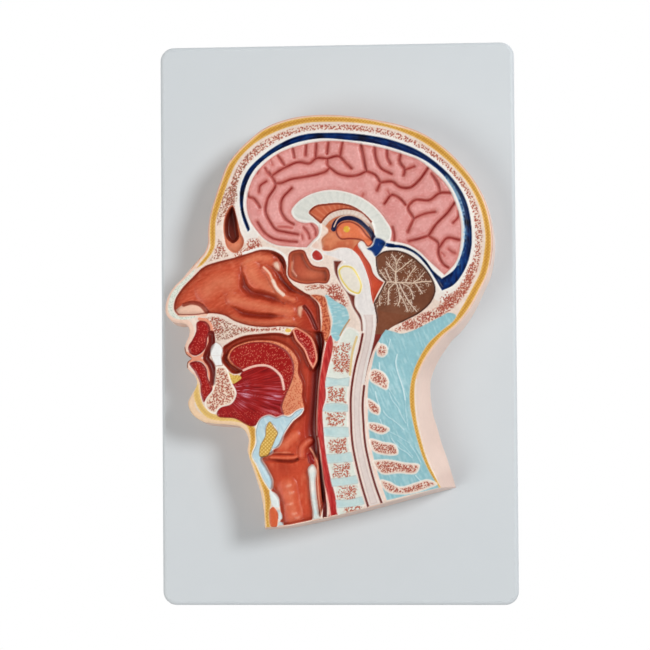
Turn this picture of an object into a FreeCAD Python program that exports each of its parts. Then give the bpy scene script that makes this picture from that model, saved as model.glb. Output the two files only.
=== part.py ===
import FreeCAD, Part
import math
import os

V = FreeCAD.Vector

# Half a head, cut along its middle plane, as a painted relief on a plain board.
# The board lies on its back: +X runs from the nose to the back of the head, +Y to the crown,
# +Z out of the cut face. The origin is the middle of the board's back plane. All sizes are millimetres.

# Head and the board round it
HEAD_LENGTH = 234.5
HEAD_HEIGHT = 294.7
MARGIN_FACE = 8.2
MARGIN_BACK = 17.3
MARGIN_TOP = 55.9
MARGIN_NECK = 59.4
BOARD_DEPTH = 14.0
BOARD_CORNER = 10.0
BOARD_EDGE = 3.0
BOARD_WALL = 2.5

# Relief
RELIEF_HEIGHT = 36.0
CROWN_CEILING = 3.0
FACE_CEILING = 3.5

# Depths below the cut face
TISSUE_DEPTH = 0.8
BRAIN_DEPTH = 1.0
VENTRICLE_DEPTH = 2.0
SINUS_DEPTH = 3.0
NASAL_DEPTH = 4.0
AIRWAY_DEPTH = 5.0
PASSAGE_DEPTH = 8.0
SPHENOID_DEPTH = 5.5
RIDGE_DROP = 0.3
PALATE_DROP = 1.2
SULCUS_WIDTH = 2.0
SULCUS_DEPTH = 2.2
SULCUS_STEP = 4.0
SULCUS_LEAST_STEPS = 4
CORD_LINE_WIDTH = 1.4
CORD_LINE_DEPTH = 1.6
BRANCH_WIDTH = 1.1
TONGUE_LINE_WIDTH = 1.2

# Screws from behind the board
SCREW_RADIUS = 2.0
SCREW_HEAD_RADIUS = 4.0
SCREW_HEAD_HEIGHT = 2.6
SCREW_SLOT_WIDTH = 1.0
SCREW_SLOT_DEPTH = 1.1
SCREW_GRIP = 12.0
SCREW_CLEARANCE = 0.3
PILOT_CLEARANCE = 0.05
WASHER_RADIUS = 5.5
WASHER_THICKNESS = 1.0
SEAT_RADIUS = 7.5
SEAT_HEIGHT = 3.0
BOSS_RADIUS = 5.5
PILOT_SPARE = 2.0

# The outlines below are drawn in millimetres for this size of head, from these two marks
DRAWN_LENGTH = 234.5
DRAWN_HEIGHT = 294.7
DRAWN_NOSE = -121.8
DRAWN_NECK = -145.6

BOARD_WIDTH = MARGIN_FACE + HEAD_LENGTH + MARGIN_BACK
BOARD_HEIGHT = MARGIN_NECK + HEAD_HEIGHT + MARGIN_TOP
CUT_FACE = BOARD_DEPTH + RELIEF_HEIGHT
OVERCUT = 1.0

# How far a wall may turn, in radians, before it takes one more straight step
CHORD_TURN = 0.4

# Head outline from the front of the neck to the mouth: X, Y and how far its foot stands out
LOWER_FACE = [
    (-51.2, -145.6, 3.5), (-51.8, -136, 3), (-54, -121, 3), (-57, -111, 3), (-60.5, -100.5, 3),
    (-63.2, -91, 3), (-62.6, -82, 2.5), (-65, -76.6, 2), (-69.5, -73.3, 2.5), (-77.9, -71.9, 3),
    (-87, -71.2, 3), (-95.4, -69.6, 3), (-101.7, -65.6, 3), (-105, -60.6, 3), (-105.8, -55.8, 3),
    (-103.5, -51, 3), (-100.4, -45.5, 2.5), (-99.4, -41.8, 2), (-100.8, -37.3, 2.5),
    (-104.4, -33.7, 3), (-106.6, -30.8, 3), (-106.2, -27.2, 1), (-103, -24.6, 0)]

# From the mouth over the nose, the crown and the nape to the back of the neck
UPPER_FACE = [
    (-103, -24.6, 0), (-106.9, -22, 1), (-108.4, -17.6, 3), (-107.1, -13.1, 3), (-105.1, -8.5, 2.5),
    (-104.6, -4.6, 2), (-106.2, -0.6, 1.5), (-109.5, 0.9, 2), (-114.2, 1.4, 2.5), (-118.6, 3.6, 3),
    (-121.5, 8, 3), (-121.8, 12.5, 3), (-120.1, 19.6, 3), (-116, 26.5, 3), (-110.2, 32.2, 3),
    (-101.7, 42.1, 3), (-96.8, 47.5, 3), (-92.8, 52.5, 2.5), (-90.9, 58.5, 2.5), (-90.8, 66, 2.5),
    (-89.5, 77, 2.5), (-85.8, 90, 2.5), (-81.2, 103.4, 2), (-76.6, 114.5, 2), (-70.8, 122, 2),
    (-60.8, 131.8, 2), (-50.6, 139.6, 2), (-30.3, 147, 2), (-10, 149.1, 2), (10, 148.1, 2),
    (30.4, 144.9, 2), (50.5, 140.1, 2), (65.7, 133.6, 2), (80.8, 122.6, 2), (91, 112.2, 2),
    (101.2, 98.7, 2), (107.4, 86.4, 2), (110.9, 74.1, 2), (112.7, 60, 2.2), (111.9, 46.1, 2.5),
    (109, 33.8, 2.8), (103.6, 22.5, 3), (98, 12, 3.5), (92, 3.4, 4.2), (86.5, -2.6, 5),
    (79.3, -8.1, 6), (74, -13.8, 6.8), (68.7, -19.9, 7.6), (64.3, -26.5, 8.3), (60.8, -33.1, 8.8),
    (58.3, -41, 9.2), (57.4, -50.1, 9.7), (57.7, -60, 10.2), (58.7, -69.7, 10.8), (60.7, -79, 11.5),
    (63.5, -91, 12), (68, -102.6, 11.6), (74.6, -117.6, 8.5)]

# The cut across the neck, back to front
NECK_CUT = [(74.6, -117.6), (-17.4, -141), (-37, -144.7), (-51.2, -145.6)]
NECK_FOOT = [(85, -119.6), (-16.4, -145), (-36.6, -148.7), (-54.2, -149.6)]

# Channel of the sagittal and the straight sinus
SINUS_RUNS = [
    [(-62.1, 66), (-65.6, 75), (-67.8, 88), (-66.5, 100), (-62.1, 109.6), (-50, 121.3), (-40, 128),
     (-25, 134.3), (0, 136), (20, 134.6), (40, 130.6), (60, 122.6), (75, 111.9), (85, 101.6),
     (93.2, 88.1), (97.3, 70.2), (96.8, 50), (92.1, 36.5), (83.6, 25.8), (76.4, 22.6)],
    [(76.4, 22.6), (71.5, 31.2), (64.3, 41.9), (57.1, 49.1), (49.9, 52.5), (37.5, 53.9)],
    [(37.5, 53.9), (37.9, 55.9)],
    [(37.9, 55.9), (49.9, 54.4), (57.1, 50.9), (64.3, 44.6), (70.4, 36.3), (76.4, 30.9)],
    [(76.4, 30.9), (84.5, 36.5), (90.8, 49.1), (92.6, 71.5), (88.1, 88.1), (80, 102.4), (65, 115.5),
     (50, 122.1), (30, 128), (10, 130.9), (-10, 132.3), (-30, 128.5), (-45, 121.3), (-58, 109.6),
     (-64.5, 94.8), (-65.4, 84), (-60.7, 67.8)],
    [(-60.7, 67.8), (-62.1, 66)]]

# Brain above the callosum
BRAIN_RUNS = [
    [(-19.9, 54.1), (-32, 54.8), (-42, 56.2), (-50, 60.2), (-56.2, 66.9), (-61.2, 75), (-63.2, 85),
     (-62, 94.8), (-58.9, 103.8), (-50, 115), (-40, 122.2), (-25, 127.6), (-10, 130.3), (5, 130.3),
     (20, 128), (35, 124.9), (50, 120.2), (60, 116.4), (70, 108.7), (80, 98.4), (86.7, 85),
     (90.3, 71.1), (90.1, 56.3), (86.7, 42.8), (78.2, 33.2)],
    [(78.2, 33.2), (67, 43.7), (60.3, 50.4), (53.1, 54.9), (45, 57.2), (39.6, 58)],
    [(39.6, 58), (40.5, 65.1), (36.5, 73), (29.8, 81.6), (20, 89), (9.2, 93.3), (-4.3, 95),
     (-15.5, 92.3), (-25, 87.4), (-30.6, 79.5), (-27.9, 74.6), (-22.1, 72.1), (-14.9, 71.9),
     (-11.3, 68.7), (-11.3, 63.3), (-15.3, 59), (-19.9, 54.1)]]

# Furrows of the brain, each a run of points with tapered ends
SULCI = [
    [(-45.5, 105.5), (-42.8, 100.6), (-48.1, 88.9), (-49.5, 80.8), (-46.3, 73.2), (-41.9, 67.4),
     (-34.7, 65.4), (-26.2, 63.8)],
    [(-30.6, 97), (-37.8, 88.5), (-38.3, 81.3), (-34.7, 74.6), (-29.4, 71)],
    [(-48.6, 102.2), (-53.4, 98.6), (-54.2, 94.6)],
    [(-61.6, 91.4), (-58, 90), (-54.5, 85)],
    [(-55.3, 72.8), (-51.3, 66.5), (-44.6, 61.3), (-36, 59.3), (-27.1, 58.4)],
    [(-22.1, 68.7), (-18.9, 64.4), (-17.9, 60.8)],
    [(-39.6, 100.6), (-31.1, 103.3), (-20.3, 105.1), (-11, 106.9), (-5.2, 109.2)],
    [(-43.4, 107), (-32.9, 113), (-26, 115.5), (-17.2, 114.8), (-13.1, 118), (-4.9, 117.9)],
    [(-49.6, 111.6), (-47.7, 108.4)],
    [(-40.3, 120.4), (-37.8, 116.8), (-36, 114)],
    [(-29.7, 125.6), (-28.4, 119)],
    [(-19.9, 127), (-20.5, 120.6)],
    [(-12.6, 127.4), (-13.2, 120)],
    [(-4, 128.4), (-5, 121.3)],
    [(-3.4, 119.9), (3.6, 119.3), (8.8, 114.1), (11.5, 111.4)],
    [(6.1, 128.4), (4.6, 121.2)],
    [(-2.8, 110.8), (2.9, 106.9), (10.1, 105.1), (17.3, 105.8), (21.6, 108.1)],
    [(19.3, 127.4), (20.9, 119.5), (22.9, 109.4)],
    [(24.4, 108), (29.4, 105.6), (32.4, 101.4)],
    [(34.2, 100.6), (41.5, 100.6), (46.9, 96.8), (54, 96.3), (60.7, 101.5), (67, 110.1)],
    [(32.6, 99), (30.6, 94.6)],
    [(29, 125.6), (29.9, 117.7), (33.2, 110.8), (41.1, 106.2)],
    [(37.9, 123.4), (38.2, 118), (40.4, 113.4)],
    [(47.6, 119.6), (46.9, 115), (50.2, 109.4), (49.6, 105)],
    [(51.8, 109.6), (57.6, 111.4)],
    [(71, 102), (74.4, 97), (75.4, 93.2)],
    [(83.6, 92.1), (75.5, 92), (67.9, 87.2), (57.1, 87), (53.2, 84)],
    [(35.7, 84.9), (41.4, 91.2), (47.4, 88.1), (52.3, 82), (55.6, 75)],
    [(57.6, 74.8), (64.4, 77.4), (72.4, 78.7)],
    [(55.8, 73), (52.2, 64)],
    [(85.8, 85), (80.9, 78.3), (71.9, 69.1), (67.4, 62.8)],
    [(53, 58), (60.6, 59.8), (66.2, 61.4)],
    [(68, 61.2), (74, 56), (74.1, 48.4), (78.2, 39.7)],
    [(76.4, 54.5), (80.4, 59.9), (88.6, 58.8)],
    [(88.3, 78.4), (84.3, 70.4)]]

# Ventricles from under the callosum to the tip of the fourth ventricle
VENTRICLE_RUNS = [
    [(-9.9, 70.9), (-17.6, 77.4), (-16.6, 82.2), (-11, 84.6), (-4, 85.6), (4.7, 85.5), (13.7, 83),
     (21.7, 77.6), (27.2, 71.6), (28.3, 65.1), (27.6, 60.4)],
    [(27.6, 60.4), (19.7, 59)],
    [(19.7, 59), (17, 57), (18.5, 52.5), (24.2, 41.2), (28, 34.9), (34.8, 28.9)],
    [(34.8, 28.9), (31, 22.3), (28.2, 14.6)],
    [(28.2, 14.6), (26.3, 17.4), (25.3, 24.1), (23.6, 32.7), (18.8, 45.2), (11.4, 53), (3.3, 53.9),
     (-4.3, 51.7), (-7.9, 52.1), (-9.4, 60.2), (-8.4, 66), (-9.9, 70.9)]]

THALAMUS = [(1.2, 66.4), (4.2, 71), (11, 72.3), (18.1, 68.7), (22.6, 63), (27, 57.2), (24.5, 54.6),
            (19.8, 58.9), (11.4, 60.4), (4, 60.6)]

FORNIX_RUNS = [
    [(-8.6, 71.2), (-3.8, 77.5), (5.5, 80.7), (16.8, 79.5), (24.8, 73), (28, 65.1)],
    [(28, 65.1), (25.2, 69), (19.6, 73.6), (11, 77.1), (2.4, 76.3), (-3.4, 73.2), (-6.3, 69.6)],
    [(-6.3, 69.6), (-8.6, 71.2)]]

GREAT_VEIN = [(29.4, 60.6), (36.6, 57.2), (34.4, 52.8), (28.8, 47.2), (26.2, 50.9), (22.6, 52.6),
              (26.9, 55)]

PITUITARY = [(-16, 49.4), (-13.4, 52.1), (-9.6, 49.4), (-8.6, 46.4), (-12, 44.9), (-15.2, 46.3)]

PONS = [(4.8, 36.8), (6.8, 39.2), (11.4, 38.8), (15.6, 32.4), (17.4, 25.8), (16, 22.6), (12.8, 23.8),
        (8.6, 28.4), (5.4, 33.4)]

# Cerebellum with its lower cistern
CEREBELLUM_RUNS = [
    [(29.2, 46.9), (34.1, 50.4), (41.6, 51.6), (51.2, 49.5), (61, 42.5), (68.2, 33.5), (71.8, 23),
     (69.1, 15.1), (61.5, 7.5), (49.8, 1.2), (39, -4.2), (32.6, -10.6), (26.6, -22)],
    [(26.6, -22), (28.4, -8), (29.4, 3), (28.8, 11.4)],
    [(28.8, 11.4), (31.8, 21.2), (35.9, 29)],
    [(35.9, 29), (31, 34.6), (29.8, 39), (29.2, 46.9)]]

ARBOR = [
    [(35.6, 29.3), (40, 28.7), (46, 28.4), (56, 28), (64.5, 29)],
    [(43.6, 29.4), (43.4, 36)],
    [(43.4, 36), (40.2, 39.8), (37, 43.4)],
    [(43.4, 36), (48.5, 39.4), (55, 44.6)],
    [(43.9, 37.4), (43.4, 44), (41, 48.4)],
    [(41, 28.2), (38.4, 22.4), (38, 13.4)],
    [(36.6, 27.6), (32.8, 21.4), (32, 13)],
    [(44.2, 28), (46, 19.6), (45, 12.4)],
    [(46.6, 19.4), (50.2, 12.6), (52, 7.8)],
    [(47, 27.6), (51.6, 16.9), (58, 8)],
    [(49, 28.2), (54, 23), (56, 16.6)],
    [(50, 28.8), (53.6, 34.2), (57.8, 39.8)],
    [(57, 28.6), (61.5, 33), (64, 36)]]

FRONTAL_SINUS = [(-73.5, 85.2), (-77, 81), (-79.6, 71.5), (-79, 62), (-76.5, 54), (-72, 50.9),
                 (-66.8, 54), (-65, 59.5), (-67.2, 65), (-70, 76)]
FRONTAL_HOLLOW = [(-73.3, 84.3), (-77.2, 79), (-79, 69.5), (-77.6, 61.6), (-73, 58), (-69.5, 60.6),
                  (-69.8, 69.6), (-71.2, 79)]

SPHENOID = [(-31.4, 50.6), (-27, 52.2), (-22, 51.6), (-19.8, 47), (-16.4, 41.6), (-11, 39.8),
            (-5.8, 39.2), (-3.8, 33.6), (-5.6, 29.2), (-12.4, 29.1), (-20.5, 28.5), (-28.6, 30.4),
            (-32.6, 33.4), (-32.9, 42)]

# Nasal cavity: roof from the tip of the nose backwards, then the floor
NASAL_RUNS = [
    [(-112.6, 6.7), (-115.4, 10.4), (-115.2, 16), (-110.2, 25), (-102.1, 33.5), (-93.6, 41.2),
     (-83.7, 44.6), (-73.4, 47), (-62.2, 50.3), (-52, 52.9), (-43, 51.6), (-37, 47.6), (-34.8, 41.6),
     (-34.6, 34.5), (-31.3, 29), (-21.9, 21.9)],
    [(-21.9, 21.9), (-23, 8), (-28, -2.8)],
    [(-28, -2.8), (-37.6, -2), (-51, -2.3), (-63.5, -0.7), (-72, 2.2), (-79, 6.2), (-89.1, 7.9),
     (-99.9, 6.8), (-112.6, 6.7)]]

# Deep passages under the nasal conchae
UPPER_PASSAGE = [(-50, 41.9), (-45, 40.4), (-41, 37), (-38.8, 41), (-39.8, 46.6), (-46, 50.8),
                 (-44, 51.8), (-38.4, 47.9), (-35.3, 41), (-34.9, 34), (-31, 28.2), (-24, 22.6),
                 (-28.4, 18.4), (-33.4, 21.4), (-39.4, 26), (-44, 34)]
MIDDLE_PASSAGE = [(-69.6, 40.4), (-66.4, 40), (-65.2, 32), (-61.3, 24.2), (-52, 22.4), (-42, 18.6),
                  (-36, 14.4), (-42, 15.4), (-50, 19.6), (-61, 20.8), (-67.5, 25), (-68.8, 33)]
LOWER_PASSAGE = [(-79.6, 12.2), (-74.7, 12), (-66.2, 7.6), (-57, 5.9), (-40, 6), (-40, 3.9),
                 (-58, 3.6), (-66.5, 4.4), (-73.6, 8.6)]
VESTIBULE_PASSAGE = [(-106, 16), (-98.1, 17.6), (-91.6, 16.8), (-87.4, 13.4), (-86, 8.9),
                     (-91.4, 8.6), (-95.8, 12.7), (-101, 15.2)]
CONCHA_RIDGE = [(-51, 40.4), (-46.2, 36.2), (-42.6, 27.4), (-38.4, 22.2), (-31.4, 17.4)]
CONCHA_RIDGE_WIDTH = 2.4

# Mouth, throat, larynx and windpipe, as one open space
AIRWAY_RUNS = [
    [(-30, 20), (-31.4, 6), (-31.8, -8.4)],
    [(-31.8, -8.4), (-38, -6.6), (-55, -6.9), (-62.6, -7.7), (-70.3, -9.9), (-76.5, -13.1),
     (-82, -15.8)],
    [(-82, -15.8), (-81, -20.4), (-81.4, -24.6), (-76.1, -32.8), (-71.2, -36.3), (-67.8, -34)],
    [(-67.8, -34), (-75.2, -28.3), (-78.6, -23.8), (-75.2, -18.5), (-66, -13.4), (-52.6, -11.8),
     (-41, -13.4), (-32.8, -17.2), (-27.9, -23.5), (-26.6, -31), (-24.6, -39), (-23.6, -47),
     (-24.4, -55), (-21.8, -60.7)],
    [(-21.8, -60.7), (-28, -66.2), (-34.6, -74.2), (-40, -84.5), (-45, -91), (-51.4, -96.8)],
    [(-51.4, -96.8), (-46.9, -110), (-42.4, -121.4), (-39.6, -132), (-38.6, -152)],
    [(-38.6, -152), (-16, -148)],
    [(-16, -148), (-18.6, -130), (-19.9, -115), (-20.3, -100.5)],
    [(-20.3, -100.5), (-20.3, -92), (-14.6, -90)],
    [(-14.6, -90), (-14.2, -75), (-13.4, -60), (-12.2, -45), (-10.6, -33), (-9.3, -20), (-9.6, -10),
     (-10.9, 3), (-12.2, 12), (-15.8, 18.8), (-24, 24)],
    [(-24, 24), (-30, 20)]]
THROAT = [(-13.6, 15), (-12.4, 2), (-11.8, -10), (-12, -24), (-13.8, -36), (-15.4, -50),
          (-16.4, -64), (-17.4, -76), (-17, -87)]
THROAT_WIDTH = 3.2
TUBE_FOLD = [(-21.6, 11.4), (-18.7, 6.7), (-15.6, 0.4), (-13.8, -5)]
TUBE_FOLD_WIDTH = 2.0
VOCAL_FOLD = [(-50.4, -97.2), (-45, -94.6), (-34, -94.4), (-27, -94.3), (-26.6, -96.4), (-31, -98.7),
              (-42, -98.2)]
GULLET = [(-15.6, -94), (-12, -103), (-11, -116), (-9.8, -128), (-7, -142)]
GULLET_WIDTH = 2.6

SOFT_PALATE = [(-34, -4.6), (-29, -3), (-24.4, -4.4), (-18.4, -9.6), (-15, -15), (-13.7, -24),
               (-13.6, -30.4), (-16.2, -33), (-19.4, -27), (-23.4, -17.6), (-29, -11.6), (-34, -8.6)]

TONGUE_RUNS = [
    [(-66.8, -33), (-75.4, -24.2), (-71.5, -17.6), (-64, -14.3), (-54, -13.1), (-45.4, -14.3),
     (-37.8, -17.6), (-32.8, -22.6), (-30.2, -30), (-30.8, -38.7), (-34.2, -47.7), (-37.8, -56.2),
     (-37.9, -65.4)],
    [(-37.9, -65.4), (-42.4, -67.4), (-49, -65.7), (-53.5, -67.4), (-57.6, -73)],
    [(-57.6, -73), (-65, -69.6), (-75.6, -67.2), (-85.6, -65), (-86.2, -62.6), (-80.6, -59.2),
     (-73.9, -56)],
    [(-73.9, -56), (-71.3, -49.8), (-74.6, -42.8)],
    [(-74.6, -42.8), (-68, -38.6), (-66.8, -33)]]
TONGUE_LINE = [(-65.4, -32.9), (-60.2, -30.9), (-52.6, -29.7), (-46.3, -31.1), (-41.3, -34.7),
               (-38.4, -39.6), (-37.3, -45.4)]

UPPER_LIP = [(-98.6, 1.6), (-94.6, 2.8), (-90.9, 0), (-89.8, -4), (-91.6, -9), (-92.8, -16),
             (-97, -21.4), (-101.4, -22.4), (-105.4, -19), (-104.6, -14.4), (-101, -8), (-99.2, -3)]
LOWER_LIP = [(-104.4, -28.2), (-101.2, -26.5), (-96.3, -27.4), (-92.4, -32), (-91.5, -40),
             (-88.4, -47.2), (-91.6, -52.4), (-94.6, -55.4), (-96.4, -51), (-96.9, -43),
             (-99.4, -36.9), (-102.6, -31.4)]
LIP_GAP = [(-90, -7), (-89.2, -14), (-90.4, -20), (-87, -29), (-86.4, -36), (-88.2, -41.8),
           (-88.8, -34), (-90.4, -28), (-94.4, -24.4), (-91.8, -19), (-90.9, -12)]

EPIGLOTTIS = [(-23.8, -61.6), (-29.6, -64.4), (-36, -66.4), (-43, -67.6), (-49, -66.4), (-55, -70),
              (-57, -76), (-56.9, -84), (-59.4, -93), (-55.4, -102.6), (-50, -113), (-47, -118),
              (-46, -114), (-50, -103.6), (-55.2, -93.4), (-52.6, -84), (-50, -75), (-47.4, -70.4),
              (-43.6, -75.6), (-45.8, -87), (-44.6, -89.8), (-40.2, -83.4), (-33.6, -72.6), (-28, -66)]
ARYTENOID = [(-20.4, -93), (-18.8, -92.4), (-16, -97.8), (-16.4, -100.2), (-19.2, -100.4)]
ISTHMUS = [(-45.4, -130.9), (-42.8, -133.2), (-42, -142), (-44.6, -145), (-47.6, -141), (-48, -136)]

CRICOID_BEAD = [(-47.6, -119.4), (-44.6, -120), (-41.4, -125), (-40.7, -130), (-44.4, -130.4),
                (-46.6, -126.6)]

# Discs of the neck spine: front and back ends of the middle line, and the height at each end
DISCS = [((-5, -41.6), (9.6, -41.4), 4.6), ((-7.6, -60.4), (9.4, -60.8), 4.2),
         ((-8.4, -77.4), (9.6, -77.8), 6.4), ((-6.6, -96.4), (11.2, -95.8), 4.8),
         ((-3.8, -113.2), (15.6, -113), 4), ((0, -128.6), (19, -127.4), 3)]

CLIVUS_WEDGE_RUNS = [
    [(-6, 19.8), (2, 14.2), (10, 6)],
    [(10, 6), (6, -1), (0.6, -7)],
    [(0.6, -7), (-1.6, 0), (-3, 8), (-6, 19.8)]]
NECK_MUSCLE_RUNS = [
    [(0.2, -8), (-2.4, -22), (-5.4, -34), (-7.6, -44), (-8.6, -60), (-9.4, -76), (-7.4, -94),
     (-4.2, -110), (-0.6, -126), (1.4, -134.4)],
    [(1.4, -134.4), (-3.6, -135.8)],
    [(-3.6, -135.8), (-8.4, -112), (-12, -92), (-12.4, -76), (-11.4, -58), (-10.2, -40), (-8, -24),
     (-5.4, -12)],
    [(-5.4, -12), (0.2, -8)]]

FRONT_CORD_LINE = [(19.2, -6), (17.3, -19), (13.5, -34.2), (11, -50.4), (10.8, -64), (11.5, -83),
                   (14.3, -100.1), (18.3, -116.3), (24, -134)]
BACK_CORD_LINE = [(24.6, -25), (22, -34.2), (19.8, -49), (19.2, -62), (19.9, -78), (22.4, -95.2),
                  (26.4, -111.8), (33.4, -132)]
BASILAR_RUNS = [
    [(-1, 44.6), (5.6, 44.4)],
    [(5.6, 44.4), (2.4, 40), (2.4, 35), (5.4, 27.2), (10.3, 21.4), (14.4, 19.4)],
    [(14.4, 19.4), (14.2, 13), (18.8, 4.4), (20, -6.4)],
    [(20, -6.4), (18.4, -6.2)],
    [(18.4, -6.2), (17.8, 1), (12.1, 12), (9.9, 18.3), (3.3, 28.7), (0, 35.8), (-1, 44.6)]]

NUCHAL_RUNS = [
    [(26, -27), (30, -16.6), (35.4, -7.9), (40.3, -4.2), (44, -8.2), (53.3, -6.6), (64.1, -1.7),
     (74.9, 3.7), (83.4, 7), (86.4, 4.6), (83, 0)],
    [(83, 0), (73.4, -7.4), (64.6, -16), (57.6, -28), (53, -40), (51.8, -54), (53.4, -70),
     (57.4, -86), (64.4, -106), (66, -110)],
    [(66, -110), (58, -112), (46, -115), (36.4, -122.6), (33.8, -122.4)],
    [(33.8, -122.4), (28.2, -105), (24.4, -88.5), (22.7, -74), (22.3, -60), (22.9, -45), (26, -27)]]

SPINOUS = [
    [(30.3, -16.7), (34, -14.9), (37.4, -19), (36, -23.6), (31.7, -24.6), (29.4, -20.4)],
    [(24.6, -34.6), (30, -33.2), (36.2, -37.8), (38.3, -44), (36, -47.6), (28, -43.2), (24, -39)],
    [(23.8, -54.4), (28.1, -56.6), (31.9, -61.6), (30.6, -65.5), (24.8, -63.2), (23.2, -58.6)],
    [(24.2, -72.2), (32, -72.3), (38.2, -76), (35.4, -79), (27.4, -78), (23.9, -75)],
    [(25.4, -83.2), (35, -85.4), (44.4, -89.6), (43.4, -93.4), (33, -93.6), (26, -89.4)],
    [(29, -98), (44, -99.8), (58.2, -101.6), (58.6, -105.6), (45, -107.1), (32, -106.4),
     (28.4, -102)]]

# Cavities behind the cut face, seen only with the board off
CROWN_CAVITY = [(-50, 68), (-54, 86), (-48, 104), (-34, 116), (-8, 122), (22, 119), (46, 111),
                (66, 97), (78, 76), (77, 52), (66, 32), (54, 24), (40, 26), (20, 34), (0, 48),
                (-18, 58), (-36, 60)]
FACE_CAVITY = [(-66, -60), (-86, -50), (-88, -34), (-90, -12), (-84, 8), (-98, 16), (-92, 30),
               (-76, 38), (-50, 42), (-24, 36), (-2, 20), (24, 8), (52, 2), (70, 4), (56, -14),
               (46, -34), (42, -56), (46, -76), (54, -98), (56, -110), (28, -116), (-8, -126),
               (-34, -132), (-42, -122), (-46, -100), (-50, -78)]
CROWN_BOSSES = [(-30, 88), (58, 70)]
FACE_BOSSES = [(-62, -20), (22, -98)]


def placed(x, y, z):
    """A drawn point on this size of head, from the middle of the board."""
    along = (x - DRAWN_NOSE) * HEAD_LENGTH / DRAWN_LENGTH + MARGIN_FACE - BOARD_WIDTH / 2
    up = (y - DRAWN_NECK) * HEAD_HEIGHT / DRAWN_HEIGHT + MARGIN_NECK - BOARD_HEIGHT / 2
    return V(along, up, z)


def chords(points, closed=False):
    """Straight steps along a smooth curve through the drawn points, more of them where it bends more."""
    if len(points) == 2:
        return points
    spline = Part.BSplineCurve()
    spline.interpolate([V(*p) for p in points], PeriodicFlag=closed)
    knots = spline.getKnots()
    steps = []
    for start, end in zip(knots, knots[1:]):
        turn = spline.tangent(start)[0].getAngle(spline.tangent(end)[0])
        count = 1 + int(turn / CHORD_TURN)
        steps += [tuple(spline.value(start + (end - start) * i / count)) for i in range(count)]
    return steps + [tuple(spline.value(knots[-1]))]


def polygon_face(vectors):
    """A flat face inside a closed run of points."""
    return Part.Face(Part.makePolygon(vectors))


def flat(points):
    return [(x, y, 0) for x, y in points]


def loop_face(points, z):
    """A flat face inside one smooth closed curve."""
    return polygon_face([placed(x, y, z) for x, y, _ in chords(flat(points), closed=True)])


def runs_face(runs, z):
    """A flat face inside curves that meet at corners."""
    outline = [point for run in runs for point in chords(flat(run))[:-1]]
    return polygon_face([placed(x, y, z) for x, y, _ in outline + outline[:1]])


def band_face(points, width, z):
    """A flat face of one width along a smooth centre line."""
    middle = [placed(x, y, z) for x, y, _ in chords(flat(points))]
    left = [p + normal_at(middle, i) * (width / 2) for i, p in enumerate(middle)]
    right = [p - normal_at(middle, i) * (width / 2) for i, p in enumerate(middle)]
    return polygon_face(left + right[::-1] + left[:1])


def normal_at(vectors, i):
    """The unit normal to the left of a run of points, in the plane of the board."""
    before = vectors[max(i - 1, 0)]
    after = vectors[min(i + 1, len(vectors) - 1)]
    along = (after - before).normalize()
    return V(-along.y, along.x, 0)


def pocket(face, depth):
    """The cutter of a recess: the face stands at the recess's floor."""
    return face.extrude(V(0, 0, depth + OVERCUT))


def recess(shape_face, outline, depth):
    return pocket(shape_face(outline, CUT_FACE - depth), depth)


def groove_recess(points, width, depth):
    return pocket(band_face(points, width, CUT_FACE - depth), depth)


def raised(shape_face, outline, floor_depth, drop):
    """A raised field that grows from under a recess's floor to just below the cut face."""
    face = shape_face(outline, CUT_FACE - floor_depth - OVERCUT)
    return face.extrude(V(0, 0, floor_depth + OVERCUT - drop))


def raised_band(points, width, floor_depth, drop):
    face = band_face(points, width, CUT_FACE - floor_depth - OVERCUT)
    return face.extrude(V(0, 0, floor_depth + OVERCUT - drop))


def strip(upper, lower):
    """Flat triangles between two runs with the same number of points."""
    faces = []
    for i in range(len(upper) - 1):
        if upper[i] != lower[i]:
            faces.append(polygon_face([upper[i], lower[i], upper[i + 1], upper[i]]))
        if upper[i + 1] != lower[i + 1]:
            faces.append(polygon_face([lower[i], lower[i + 1], upper[i + 1], lower[i]]))
    return faces


def furrow(points):
    """The cutter of a V-shaped furrow with pointed ends, a little taller than the brain's surface."""
    lift = BRAIN_DEPTH / 2
    half = SULCUS_WIDTH / 2 * (1 + lift / SULCUS_DEPTH)
    spline = Part.BSplineCurve()
    spline.interpolate([placed(x, y, CUT_FACE - BRAIN_DEPTH + lift) for x, y in points])
    steps = max(SULCUS_LEAST_STEPS, round(spline.length() / SULCUS_STEP))
    middle = spline.discretize(Number=steps + 1)
    swell = [math.sin(math.pi * i / steps) ** 0.5 for i in range(steps + 1)]
    swell[0] = swell[-1] = 0
    left = [p + normal_at(middle, i) * (half * swell[i]) for i, p in enumerate(middle)]
    right = [p - normal_at(middle, i) * (half * swell[i]) for i, p in enumerate(middle)]
    bottom = [p - V(0, 0, (SULCUS_DEPTH + lift) * swell[i]) for i, p in enumerate(middle)]
    lid = polygon_face(left + right[-2::-1])
    return solid_from([lid] + strip(left, bottom) + strip(right, bottom))


def solid_from(faces):
    """A closed solid from faces that share their edges."""
    shell = Part.Compound(faces)
    shell.sewShape()
    solid = Part.makeSolid(shell.Shells[0])
    if solid.Volume < 0:
        solid.reverse()
    return solid


def side(run, top_z, foot_z):
    """One stretch of the outline at the cut face, and the same where its flared side meets the board."""
    steps = chords(run)
    top = [placed(x, y, top_z) for x, y, _ in steps]
    foot = [p + normal_at(top, i) * steps[i][2] for i, p in enumerate(top)]
    for p in foot:
        p.z = foot_z
    return top, foot


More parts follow.
